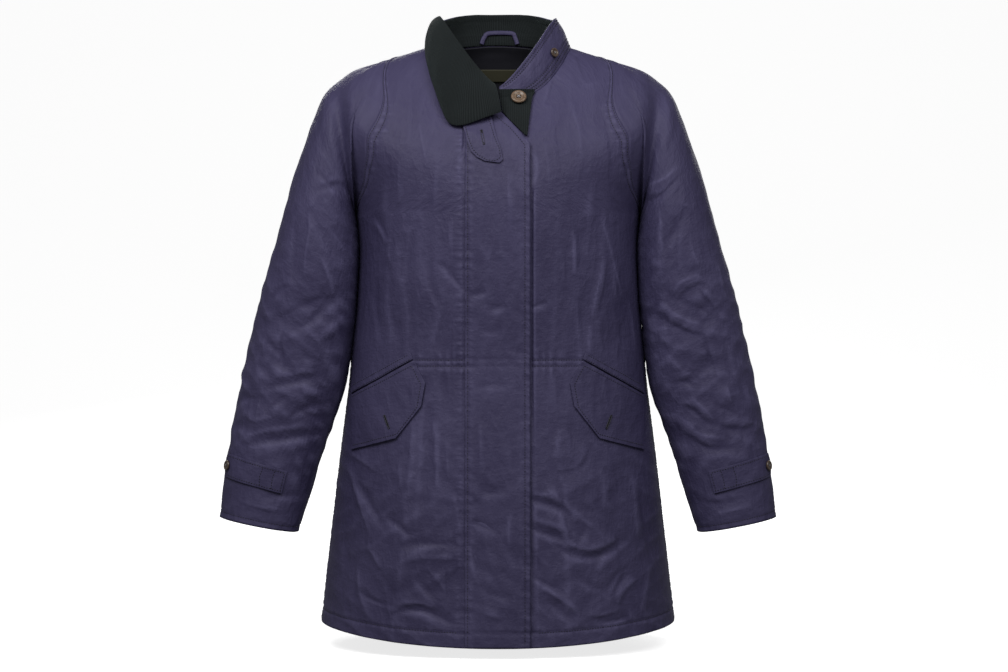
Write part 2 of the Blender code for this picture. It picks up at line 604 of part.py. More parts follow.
def build_neck_buttons(shop):
    lift = FLY_GAP + TRIM + LAYER_GAP + CORDUROY + BUTTON_GAP
    seat, out = front_seat(NECK_BUTTON_X, NECK_BUTTON_Z, NECK_BUTTON["radius"], lift)
    shop.button("neck_button", seat, out, colour=HORN, **NECK_BUTTON)
    at = in_collar(COLLAR_BUTTON_ANGLE, COLLAR_BUTTON_LEVEL, -LAYER_GAP)
    out = at - in_collar(COLLAR_BUTTON_ANGLE, COLLAR_BUTTON_LEVEL, 0)
    shop.button("collar_button", at, out, colour=BROWN, **COLLAR_BUTTON)


def build_hanger(shop):
    path = hermite(np.linspace(0, 1, len(LOOP_PATH)), LOOP_PATH, np.linspace(0, 1, LOOP_COLUMNS))
    angle = np.radians(path[:, 0])
    depth = CLOTH + 2 * LAYER_GAP + CORDUROY
    middle = in_collar(angle, path[:, 1], depth)
    along = unit(np.gradient(middle, axis=0))
    out = unit(in_collar(angle, path[:, 1], 0) - middle)
    across = np.cross(along, out) * LOOP_HALF
    shop.sheet("hanger_loop", np.stack([middle - across, middle + across]), TRIM, NAVY)


def main():
    for obj in list(bpy.data.objects):
        bpy.data.objects.remove(obj)
    shop = Workshop()
    build_body(shop)
    build_sleeves(shop)
    build_front_trim(shop)
    build_collar(shop)
    build_fall(shop)
    build_inside(shop)
    build_cuffs(shop)
    build_neck_buttons(shop)
    build_hanger(shop)


main()
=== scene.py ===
"""The looks of a waxed cotton raglan coat with a corduroy collar, filled out as it is worn.

Metres, +Z up, and the front looks along -Y. Every cloth piece is a thin shell on the form of its solid, and
its creases are strokes given in the piece's own coordinates.
"""
from __future__ import annotations

import logging
from collections.abc import Iterable, Sequence
from dataclasses import dataclass, field
from enum import Enum
from typing import Any, NamedTuple

import bpy
import numpy as np
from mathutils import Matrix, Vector

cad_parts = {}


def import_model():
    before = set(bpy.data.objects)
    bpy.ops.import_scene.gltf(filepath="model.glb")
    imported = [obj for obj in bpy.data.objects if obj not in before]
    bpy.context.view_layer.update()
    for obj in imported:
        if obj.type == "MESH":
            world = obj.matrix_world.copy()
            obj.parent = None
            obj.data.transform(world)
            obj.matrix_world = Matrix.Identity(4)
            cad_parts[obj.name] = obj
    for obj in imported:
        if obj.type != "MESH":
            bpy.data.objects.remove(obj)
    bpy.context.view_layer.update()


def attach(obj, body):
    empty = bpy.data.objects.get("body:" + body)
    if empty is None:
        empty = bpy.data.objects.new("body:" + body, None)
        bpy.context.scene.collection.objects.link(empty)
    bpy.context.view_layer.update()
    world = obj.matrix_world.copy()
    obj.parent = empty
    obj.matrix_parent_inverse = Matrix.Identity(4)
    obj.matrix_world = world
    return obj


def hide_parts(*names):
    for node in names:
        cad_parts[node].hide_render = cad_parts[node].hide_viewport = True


Array = np.ndarray
Pair = tuple[Array, Array]
Piece = bpy.types.Object
Finish = bpy.types.Material
Corners = tuple[tuple[float, float], ...]
Line = Sequence[Sequence[float]]
LOG = logging.getLogger("coat")
BODY_NAME = "root"
SET_WIDTH = 0.62    # a set crease's width, in widths of its row
SET_BOW = 0.6       # a set crease's bow, in bows of its row
RUB_AND_LIGHT_GAIN = 1500.0  # how fast a large piece's crease crests are lightened, as rubbed wax and as a painted highlight
TRIM_GAIN = 900.0   # the same for the small pieces sewn on it
THREAD_LIFT = 0.0002         # how far stitches lie above their cloth
OTHER_WAY = [0, 3, 2, 1]     # a face's points taken the other way round


# ---- Maths of surfaces ----
def hermite(knots: Sequence[float] | Array, values: Any, query: Any) -> Array:
    """Reads a smooth curve through values at knots; its slopes come from the neighbouring values.

    Args:
        knots: Where the values stand, in rising order.
        values: One value, or one row of values, for each knot.
        query: Where to read the curve.

    Returns:
        The curve's values, in the query's shape.
    """
    knots = np.asarray(knots, float)
    values = np.asarray(values, float)
    query = np.clip(np.asarray(query, float), knots[0], knots[-1])
    slopes = np.gradient(values, knots, axis=0)
    low = np.clip(np.searchsorted(knots, query, side="right") - 1, 0, len(knots) - 2)
    shape = query.shape + (1,) * (values.ndim - 1)
    span = (knots[low + 1] - knots[low]).reshape(shape)
    f = (query - knots[low]).reshape(shape) / span
    return ((1 + 2 * f) * (1 - f) ** 2 * values[low] + f * (1 - f) ** 2 * span * slopes[low]
            + f * f * (3 - 2 * f) * values[low + 1] + f * f * (f - 1) * span * slopes[low + 1])


def unit(vectors: Array) -> Array:
    """Vectors drawn to unit length."""
    return vectors / np.maximum(np.linalg.norm(vectors, axis=-1, keepdims=True), 1e-18)


def grid_normals(points: Array, closed: bool = False) -> Array:
    """Unit normals of a grid: the step down crossed with the step to the right, which points outwards.

    Args:
        points: Rows that run down and columns that run to the right, as seen from outside.
        closed: Whether the last column meets the first.

    Returns:
        One unit normal for each point.
    """
    down = np.gradient(points, axis=0)
    if closed:
        across = (np.roll(points, -1, axis=1) - np.roll(points, 1, axis=1)) / 2
    else:
        across = np.gradient(points, axis=1)
    return unit(np.cross(down, across))


def ramp(value: Array | float, low: float, high: float) -> Array:
    """Rises from 0 at low to 1 at high, level at both ends."""
    f = np.clip((np.asarray(value, float) - low) / (high - low), 0, 1)
    return f * f * (3 - 2 * f)


def value_noise(across: Array, down: Array, cell: tuple[float, float], seed: int) -> Array:
    """Smooth random heights from -1 to 1: a seeded lattice, blended between its corners.

    Args:
        across: First coordinate in metres.
        down: Second coordinate in metres.
        cell: The lattice's two spacings in metres.
        seed: Which lattice is used.

    Returns:
        A height for each point.
    """
    size = 97
    lattice = np.random.default_rng(seed).uniform(-1, 1, (size, size))
    a = np.asarray(across, float) / cell[0] + 40.3
    b = np.asarray(down, float) / cell[1] + 40.7
    ia, ib = np.floor(a).astype(int), np.floor(b).astype(int)
    fa, fb = ramp(a - ia, 0, 1), ramp(b - ib, 0, 1)
    c00, c10 = lattice[ia % size, ib % size], lattice[(ia + 1) % size, ib % size]
    c01, c11 = lattice[ia % size, (ib + 1) % size], lattice[(ia + 1) % size, (ib + 1) % size]
    return (c00 * (1 - fa) + c10 * fa) * (1 - fb) + (c01 * (1 - fa) + c11 * fa) * fb


def run_lengths(line: Array) -> Array:
    """How far along a line of points each point lies."""
    return np.concatenate([[0], np.cumsum(np.linalg.norm(np.diff(line, axis=0), axis=1))])


def polyline(points: Line, step: float) -> Array:
    """A line of points read at equal steps along its length.

    Args:
        points: The line's corners.
        step: The longest step.

    Returns:
        The places along it.
    """
    line = np.array(points, float)
    length = run_lengths(line)
    at = np.linspace(0, length[-1], max(2, int(np.ceil(length[-1] / step)) + 1))
    return np.stack([np.interp(at, length, line[:, k]) for k in range(line.shape[1])], -1)


def read_line(points: Line, share: Array) -> Array:
    """A line of points read at shares of its length.

    Args:
        points: The line's corners.
        share: Where to read it, from 0 to 1.

    Returns:
        The places along it.
    """
    line = np.array(points, float)
    length = run_lengths(line)
    return np.stack([np.interp(share * length[-1], length, line[:, k]) for k in range(line.shape[1])], -1)


def weave_quads(rows: int, columns: int, closed: bool) -> Array:
    """The faces of a grid of points, in the order of its rows; a closed grid's last column meets its first.

    Args:
        rows: How many rows the grid has.
        columns: How many columns.
        closed: Whether it closes across.

    Returns:
        Four indices for each face.
    """
    index = np.arange(rows * columns).reshape(rows, columns)
    right = np.roll(index, -1, axis=1) if closed else index[:, 1:]
    left = index if closed else index[:, :-1]
    return np.stack([left[:-1], left[1:], right[1:], right[:-1]], -1).reshape(-1, 4)


def placed(name: str, points: Array, faces: Array, material: Finish) -> Piece:
    """A smooth object of points and faces, in the scene.

    Args:
        name: The object's name.
        points: Its points, in any shape that ends in three.
        faces: The indices of each face's points.
        material: Its finish.

    Returns:
        The object.
    """
    mesh = bpy.data.meshes.new(name)
    mesh.from_pydata(points.reshape(-1, 3).tolist(), [], faces.tolist())
    mesh.shade_smooth()
    mesh.materials.append(material)
    obj = bpy.data.objects.new(name, mesh)
    bpy.context.scene.collection.objects.link(obj)
    return obj


# ---- Creases ----
class Crease(NamedTuple):
    """One crease: a bowed stroke between two points, wider on one of its sides."""

    a0: float
    b0: float
    a1: float
    b1: float
    bow: float      # how far the stroke's middle stands to its left, in metres
    width: float    # half width of its narrow side
    height: float   # above the cloth, or below it where negative
    skew: float = 3.4   # its wide side in widths of its narrow side


def crease_heights(creases: Iterable[Crease], across: Array, down: Array) -> Array:
    """Adds up the creases: each has a sharp crest that falls off to both sides, and is pointed at its ends.

    Args:
        creases: The strokes, in the same coordinates as the points.
        across: First coordinate of the points.
        down: Second coordinate of the points.

    Returns:
        The height of the cloth at each point.
    """
    total = np.zeros(np.broadcast(across, down).shape)
    for crease in creases:
        way = np.array([crease.a1 - crease.a0, crease.b1 - crease.b0])
        length = float(np.hypot(*way))
        way /= length
        da, db = across - crease.a0, down - crease.b0
        along = (da * way[0] + db * way[1]) / length
        side = da * -way[1] + db * way[0] - crease.bow * 4 * along * (1 - along)
        width = np.where(side > 0, crease.width * crease.skew, crease.width)
        near = (np.abs(side) < 4 * width) & (along > 0) & (along < 1)
        ends = np.sin(np.pi * np.clip(along, 0, 1)) ** 0.75
        total += np.where(near, crease.height * np.exp(-np.abs(side / width) ** 1.15) * ends, 0)
    return total


def crumple(across: Array, down: Array, length: float, lean: float, seed: int) -> Array:
    """Small sharp facets: folded waves in several directions, bent and faded by slow noise.

    Args:
        across: First coordinate in metres.
        down: Second coordinate in metres.
        length: Mean spacing of the waves in metres.
        lean: The middle direction of the waves in degrees.
        seed: Which waves are drawn.

    Returns:
        Heights from about -1 to 1.
    """
    draw = np.random.default_rng(seed)
    total = np.zeros(np.broadcast(across, down).shape)
    for number in range(7):
        angle = np.radians(lean + draw.normal(0, 34))
        spacing = length * draw.uniform(0.7, 1.7)
        bend = value_noise(across, down, (spacing * 2.2, spacing * 2.6), seed * 31 + number) * 0.55
        place = (across * np.cos(angle) + down * np.sin(angle)) / spacing + bend + draw.uniform(0, 1)
        folded = np.abs(2 * (place - np.floor(place)) - 1) * 2 - 1
        slow = value_noise(across, down, (length * 3.1, length * 4.1), seed * 17 + number)
        fade = ramp(slow, -0.1, 0.7)
        total += folded * fade * spacing / length
    return total / 3


def facets(across: Array, down: Array, cell: tuple[float, float], lean: float, seed: int) -> Array:
    """Flat facets with sharp edges, as in crushed cloth: the distance to the nearest of scattered points.

    Args:
        across: First coordinate in metres.
        down: Second coordinate in metres.
        cell: The mean size of a facet along and across its lean, in metres.
        lean: The direction in which the facets are long, in degrees.
        seed: Which points are scattered.

    Returns:
        Heights from about -1 to 1.
    """
    size = 89
    jitter = np.random.default_rng(seed).uniform(0.08, 0.92, (2, size, size))
    turn = np.radians(lean)
    bend = value_noise(across, down, (cell[0] * 2, cell[0] * 2), seed + 7) * 0.35
    along = (across * np.cos(turn) + down * np.sin(turn)) / cell[0] + 30.3 + bend
    aside = (down * np.cos(turn) - across * np.sin(turn)) / cell[1] + 30.7 + bend
    a0, b0 = np.floor(along).astype(int), np.floor(aside).astype(int)
    nearest = np.full(np.broadcast(along, aside).shape, 9.0)
    for i in (-1, 0, 1):
        for j in (-1, 0, 1):
            a, b = a0 + i, b0 + j
            shift = jitter[:, a % size, b % size]
            nearest = np.minimum(nearest, np.hypot(a + shift[0] - along, b + shift[1] - aside))
    return nearest * 2.4 - 1.1


def strokes(*rows: Sequence[float]) -> tuple[Crease, ...]:
    """Creases from rows of millimetres: two ends, the bow, the half width and the height.

    Args:
        rows: One row for each crease, with its width and its bow as they look before the cloth sets sharp.

    Returns:
        The creases in metres, made narrower and straighter.
    """
    made = (Crease(*(size / 1000 for size in row)) for row in rows)
    return tuple(crease._replace(width=crease.width * SET_WIDTH, bow=crease.bow * SET_BOW) for crease in made)


# Body creases are in x and z, and sleeve creases run round the arm and down it from the raglan seam
RIGHT_FRONT_CREASES = strokes(
    (-130, -271, -133, -338, 0, 7, -2.4), (-177, -244, -151, -282, 0, 4, -2),
    (-169, -256, -157, -287, 0, 5, 1.6), (-115, -256, -125, -352, -6, 4, -2),
    (-125, -344, -120, -442, 6, 4.5, -2), (-98, -290, -77, -392, -6, 4, -1.8),
    (-79, -383, -90, -442, 2, 4, -1.8), (-154, -303, -140, -431, -3, 5, -2),
    (-84, -314, -45, -354, -1, 3.2, -2.4), (-160, -106, -142, -151, 0, 5, -1.2),
    (-118, -96, -121, -152, 0, 5, -1.2), (-177, -330, -162, -425, -3, 5, -1.6),
    (-134, -171, -138, -234, 0, 9, 1.6), (-86, -158, -89, -249, 0, 9, 1.4),
    (-66, -249, -63, -314, 0, 6, 1.4), (-109, -114, -97, -179, 0, 7, 1.2),
    (-93, -506, -108, -685, -3, 6, -4), (-86, -531, -84, -630, 0, 5, 2.6),
    (-117, -534, -120, -644, 0, 7, 2.2), (-202, -606, -156, -692, -6, 5, -3.4),
    (-213, -596, -173, -702, -3, 6, 2.4), (-159, -672, -120, -695, 2, 4, -2.8),
    (-141, -713, -58, -707, 7, 8, -3.4), (-130, -727, -59, -726, 6, 7, 2.4),
    (-182, -706, -148, -772, 0, 6, 2.6), (-170, -729, -138, -785, -3, 5, -2.2),
    (-113, -745, -82, -786, -1, 4, -2.6), (-75, -740, -70, -781, 0, 4, -2.2),
    (-94, -734, -74, -770, 1, 4, 2), (-152, -805, -59, -813, 17, 5, -3.6),
    (-141, -791, -85, -792, 10, 5, 2.4), (-201, -731, -175, -815, -4, 8, 2.4),
    (-217, -678, -214, -788, -4, 9, -2.4), (-59, -624, -51, -674, 2, 3.4, -2.2),
    (-69, -561, -66, -616, 0, 6, 1.6), (-80, -467, -75, -533, 6, 4, -1.8),
    (-207, -581, -165, -604, -1, 5, 2), (-136, -583, -130, -631, 0, 7, 1.6),
    (-59, -726, -63, -767, 0, 4, -2), (-193, -772, -147, -791, -6, 4, -2),
)
LEFT_FRONT_CREASES = strokes(
    (83, -50, 68, -91, 0, 4, -2.4), (115, -14, 129, -56, 0, 5, -2.2), (85, -96, 86, -217, 0, 8, -1.5),
    (105, -84, 116, -174, 0, 7, 1.5), (144, -96, 160, -187, 6, 7, -2.2), (117, -266, 113, -328, 0, 6, -2.2),
    (108, -272, 105, -332, 0, 5, 1.6), (143, -251, 179, -374, 0, 6, 2), (143, -303, 132, -394, 1, 4.5, 1.8),
    (152, -313, 142, -397, 1, 4, -1.8), (159, -313, 167, -374, 0, 5, 1.6), (113, -360, 119, -439, 0, 5, -2),
    (96, -276, 94, -383, 0, 4, -1.5), (185, -366, 197, -445, 3, 5, 2), (173, -394, 180, -437, 0, 4.5, -1.8),
    (45, -376, 71, -369, 1, 3, -2.2), (131, -199, 126, -262, 0, 8, 1.5), (66, -143, 70, -214, 0, 7, 1.3),
    (149, -408, 153, -445, 0, 4, -1.6), (129, -401, 126, -445, 0, 4, 1.6),
    (77, -453, 84, -525, 0, 3.4, -1.8), (95, -538, 103, -586, 7, 4, -2.6),
    (130, -567, 109, -605, 5, 4, -2.8), (110, -603, 79, -613, 0, 4, -2.4),
    (43, -645, 106, -670, 5, 4.5, -4), (43, -635, 100, -655, 5, 5, 2.6), (43, -680, 99, -707, 0, 5, -4.2),
    (45, -668, 100, -693, 3, 5, 2.6), (75, -611, 104, -705, -1, 4, -2.8), (65, -619, 76, -660, 0, 5, 1.8),
    (71, -708, 188, -698, -32, 5, -4), (81, -699, 178, -691, -27, 6, 3),
    (108, -707, 129, -676, -2, 4, -2.2), (159, -783, 183, -748, 0, 3.2, -2.6),
    (149, -775, 173, -738, -1, 3.2, -2), (166, -789, 194, -758, 1, 4, 2), (60, -763, 116, -799, 1, 5, 3.2),
    (46, -745, 89, -773, 0, 4, -3.2), (65, -780, 105, -809, 0, 4.5, -2.6),
    (139, -814, 187, -805, -3, 4, -3), (125, -798, 173, -793, -6, 4, 2), (201, -620, 215, -733, 1, 8, -2.6),
    (189, -605, 200, -711, 3, 8, 2), (143, -603, 148, -659, 0, 7, 1.8), (164, -593, 174, -646, 0, 7, -1.8),
    (86, -547, 81, -591, 0, 6, 1.8), (212, -739, 199, -809, 3, 7, 2.2), (107, -747, 147, -769, -1, 5, -2.2),
    (50, -712, 53, -753, 7, 4, -2), (156, -708, 136, -741, 4, 4, 1.8),
)
FLY_CREASES = strokes(
    (-45, -363, -15, -354, -3, 3, -2.4), (-15, -382, 13, -375, 1, 4, -2.4),
    (-38, -672, 6, -693, 3, 5, -3.2), (-27, -638, 14, -632, 3, 6, -2.2), (-35, -704, -26, -753, 0, 4, -2.6),
    (-33, -490, 14, -485, 2, 5, -1.8), (-13, -228, -19, -298, 0, 6, -1.2), (14, -186, 17, -270, 0, 7, 1.2),
    (-1, -284, -11, -325, 0, 4, -1.4), (-25, -533, -22, -602, 0, 6, 1.4), (20, -547, 25, -616, 0, 6, -1.4),
    (10, -705, 33, -753, 5, 5, -2), (-16, -766, 22, -780, -6, 5, -2), (-24, -794, 14, -802, -7, 5, 1.8),
    (20, -657, 17, -709, -7, 5, 1.8), (-27, -408, 6, -408, -6, 4, -1.4), (14, -436, 42, -439, -4, 4, -1.2),
)
RIGHT_ARM_CREASES = strokes(
    (125, 209, 58, 60, -12, 3.4, -2.2), (134, 179, 73, 139, -8, 4, -2), (119, 186, 73, 103, -2, 4, 1.6),
    (117, 398, 58, 315, -7, 5, -3.8), (83, 401, 46, 355, 0, 5, 3.4), (147, 415, 117, 434, 0, 4, -2),
    (125, 395, 115, 461, -3, 3.2, -2), (137, 478, 67, 444, 0, 3.4, -2.6), (131, 461, 78, 438, 1, 4, 2),
    (99, 511, 46, 478, 9, 3.6, -3), (87, 494, 30, 504, 0, 3.4, -2.4), (151, 561, 30, 514, 3, 4, -3.6),
    (151, 547, 67, 511, 3, 4.5, 2.6), (195, 507, 129, 494, 5, 4, -2.2), (155, 521, 109, 504, -11, 4, 2.2),
    (125, 222, 109, 322, 2, 7, 2.2), (143, 242, 127, 332, -2, 6, -1.8), (162, 365, 129, 335, 2, 4, -1.8),
    (94, 279, 67, 332, 2, 5, 2), (158, 444, 127, 464, -3, 4, -2), (91, 468, 58, 461, -7, 4, 2),
    (191, 544, 127, 537, 6, 4, -2), (104, 620, 30, 607, 9, 4, -2.2), (129, 630, 67, 627, -5, 4, 1.8),
    (67, 570, 30, 594, 5, 4, -1.8), (201, 302, 169, 348, 0, 7, 1.6), (198, 179, 199, 235, 0, 7, 1.4),
    (99, 421, 67, 421, -7, 4, -2), (202, 464, 165, 488, 0, 5, 1.8), (91, 229, 46, 255, 10, 5, -2),
    (129, 507, 104, 478, -2, 4, -1.8),
)
LEFT_ARM_CREASES = strokes(
    (58, 83, 147, 182, 54, 4, -2.8), (73, 99, 134, 169, 22, 4.5, 2), (87, 348, 137, 338, -19, 4, -2.8),
    (83, 335, 129, 322, -17, 5, 2.2), (58, 348, 115, 401, 10, 4.5, -4), (67, 338, 115, 388, 7, 5, 2.8),
    (115, 398, 117, 461, -1, 4, -2.8), (58, 451, 99, 468, -8, 3.2, -2.6), (67, 441, 106, 454, -5, 4, 1.8),
    (67, 481, 96, 517, -5, 4, -3), (83, 474, 104, 511, -1, 4, 2.2), (46, 504, 119, 554, 21, 4, -3.6),
    (58, 497, 113, 537, 18, 4.5, 2.6), (117, 332, 140, 385, 1, 3.4, -2.4), (83, 186, 73, 305, 5, 7, 2.2),
    (104, 219, 94, 318, -1, 6, -1.8), (46, 371, 67, 421, -1, 4, -2.2), (143, 408, 143, 471, 3, 4, -1.8),
    (129, 471, 131, 497, 0, 4, 2), (46, 610, 115, 620, 8, 4, -2), (73, 633, 129, 633, 0, 4, 1.8),
    (58, 408, 78, 438, -1, 5, 2.2), (109, 488, 143, 517, 5, 4, -2.2), (108, 524, 165, 534, 6, 4, -2.2),
    (46, 461, 58, 488, -6, 4, -2), (46, 202, 46, 312, 0, 5, -2), (120, 269, 127, 312, 0, 6, 1.6),
    (198, 176, 216, 229, 0, 7, 1.4), (162, 312, 158, 362, 0, 6, 1.6), (155, 471, 155, 501, 0, 4, -1.8),
)
FRONT_FOLDS = strokes(
    (-155, -200, -150, -400, 0, 20, 3), (-95, -180, -105, -330, 0, 18, -2),
    (150, -210, 140, -410, 0, 20, 3), (100, -190, 115, -300, 0, 18, -2),
    (-120, -600, -150, -860, 0, 24, 3.5), (-60, -640, -70, -860, 0, 20, -3),
    (85, -560, 100, -860, 0, 22, 3), (160, -600, 185, -860, 0, 20, -3.5),
)
BACK_FOLDS = strokes(
    (-120, -120, -100, -330, 0, 20, 3), (125, -130, 100, -350, 0, 20, 3),
    (-60, -430, -90, -840, 0, 26, 4.5), (10, -480, 15, -840, 0, 24, -4), (75, -420, 110, -840, 0, 26, 4.5),
)
BACK_CREASES = strokes(
    (-150, -200, -120, -330, 6, 5, -2.2), (140, -190, 118, -310, -6, 5, -2.4),
    (-60, -150, -75, -290, 4, 7, 1.6), (40, -160, 55, -300, -3, 8, -1.6),
    (-30, -240, -20, -400, 3, 5, -1.8), (90, -250, 80, -420, 2, 5, 1.8),
    (-140, -340, -120, -445, -3, 4.5, -2), (-85, -330, -95, -445, 3, 4.5, 2),
    (20, -340, 10, -445, 3, 4, -1.8), (70, -360, 60, -445, -2, 4.5, -1.8),
    (150, -330, 130, -440, 3, 4.5, -2), (-180, -470, -170, -600, -5, 6, -2.6),
    (-120, -470, -135, -560, 3, 5, 2.2), (-40, -470, -30, -590, 4, 6, -2.8),
    (45, -470, 60, -580, -3, 5, 2.4), (120, -470, 150, -610, 4, 6, -3), (185, -480, 195, -600, -3, 6, 2),
    (-150, -640, -70, -690, 9, 6, -3.4), (-110, -620, -40, -650, 8, 6, 2.6),
    (30, -650, 110, -690, -9, 6, -3.4), (60, -640, 130, -640, 8, 6, 2.6),
    (-180, -720, -120, -790, -5, 5.5, -2.8), (-90, -730, -20, -770, 7, 5, 2.6),
    (0, -700, 40, -790, 4, 5, -2.8), (90, -740, 160, -770, -6, 5, -2.8), (150, -690, 200, -760, 6, 6, 2.6),
    (-60, -800, 20, -812, 6, 5, -2.6), (70, -805, 140, -800, -5, 5, 2.2),
    (-205, -620, -200, -760, 4, 8, 2.4), (208, -640, 212, -780, -4, 8, -2.4),
)
ARM_FOLDS = strokes(
    (126, 224, 67, 277, 0, 14, -3.5), (76, 330, 151, 396, 0, 13, -4), (139, 436, 59, 462, 0, 13, -3.5),
    (71, 502, 143, 541, 0, 12, -3), (277, 238, 353, 290, 0, 14, -3.5), (344, 343, 269, 396, 0, 14, -4),
    (286, 462, 353, 502, 0, 13, -3), (262, 120, 300, 210, 6, 9, 2.4), (330, 130, 300, 230, -5, 8, -2.4),
    (250, 300, 330, 320, 8, 6, -2.8), (240, 350, 320, 372, -8, 5, 2.6), (300, 410, 236, 440, 6, 5, -3),
    (250, 455, 330, 470, 7, 5, 2.4), (340, 520, 260, 545, 6, 4.5, -2.8), (270, 560, 350, 572, -5, 4.5, 2.2),
    (390, 300, 380, 420, 6, 7, 2.2), (20, 330, 30, 450, -6, 7, -2.4), (400, 470, 370, 540, 5, 6, -2.4),
)


# ---- The coat's form ----
class Ring(NamedTuple):
    """A level ring of the body or of the collar: its half width, depths and heights."""

    half_width: float
    front: float
    back: float
    side_z: float
    front_z: float
    back_z: float
    square: float
    dip: float
    back_dip: float


class ArmRing(NamedTuple):
    """A ring of the left sleeve, from its outer edge to its inner edge."""

    outer_x: float
    outer_z: float
    inner_x: float
    inner_z: float
    front_y: float
    back_y: float
    square: float


class Seam(NamedTuple):
    """The raglan seam's two angles round the body at one level."""

    level: float
    front_deg: float
    back_deg: float


BODY_RINGS = tuple(Ring(*row) for row in (
    (0.106, 0.096, 0.082, 0.002, -0.082, 0.018, 2.3, 3, 2),
    (0.143, 0.112, 0.1, -0.01, -0.108, -0.008, 2.3, 2.8, 2),
    (0.2, 0.131, 0.126, -0.029, -0.142, -0.065, 2.3, 2.6, 2),
    (0.255, 0.143, 0.14, -0.073, -0.185, -0.138, 2.3, 2.4, 2),
    (0.2035, 0.15, 0.141, -0.245, -0.245, -0.245, 2.35, 2, 2),
    (0.2028, 0.147, 0.131, -0.36, -0.36, -0.36, 2.35, 2, 2),
    (0.2126, 0.144, 0.127, -0.459, -0.459, -0.459, 2.35, 2, 2),
    (0.229, 0.153, 0.141, -0.59, -0.593, -0.59, 2.35, 2, 2),
    (0.245, 0.163, 0.154, -0.7285, -0.738, -0.731, 2.35, 2, 2),
    (0.256, 0.171, 0.163, -0.827, -0.847, -0.837, 2.35, 2, 2),
))
COLLAR_RINGS = tuple(Ring(*row) for row in (
    (0.1057, 0.096, 0.082, 0.0026, -0.0814, 0.0186, 2.3, 3, 2),
    (0.096, 0.0965, 0.0845, 0.025, -0.0735, 0.042, 2.3, 2, 3),
    (0.0845, 0.0955, 0.085, 0.045, -0.066, 0.0635, 2.3, 1.3, 4),
))
RAGLAN_SEAM = tuple(Seam(*row) for row in (
    (0, 104, 134), (1, 92, 130), (2, 52, 130), (3, 43, 134), (3.5, 51, 127), (3.8, 66, 113), (4, 90, 90),
))
ARM_RINGS = tuple(ArmRing(*row) for row in (
    (0.212, -0.033, 0.206, -0.2475, -0.094, 0.096, 2.2), (0.233, -0.047, 0.2052, -0.25, -0.081, 0.087, 2.2),
    (0.249, -0.063, 0.2044, -0.253, -0.088, 0.084, 2.2),
    (0.267, -0.103, 0.2034, -0.259, -0.092, 0.075, 2.15),
    (0.284, -0.155, 0.2018, -0.27, -0.096, 0.061, 2.15),
    (0.3025, -0.217, 0.2006, -0.294, -0.099, 0.046, 2.15),
    (0.3225, -0.291, 0.2014, -0.345, -0.098, 0.039, 2.15),
    (0.3435, -0.364, 0.2058, -0.405, -0.096, 0.04, 2.15),
    (0.364, -0.4517, 0.219, -0.488, -0.092, 0.037, 2.15), (0.38, -0.532, 0.246, -0.568, -0.091, 0.03, 2.15),
    (0.393, -0.619, 0.272, -0.652, -0.093, 0.016, 2.15),
    (0.399, -0.6746, 0.286, -0.697, -0.094, 0.004, 2.15),
))


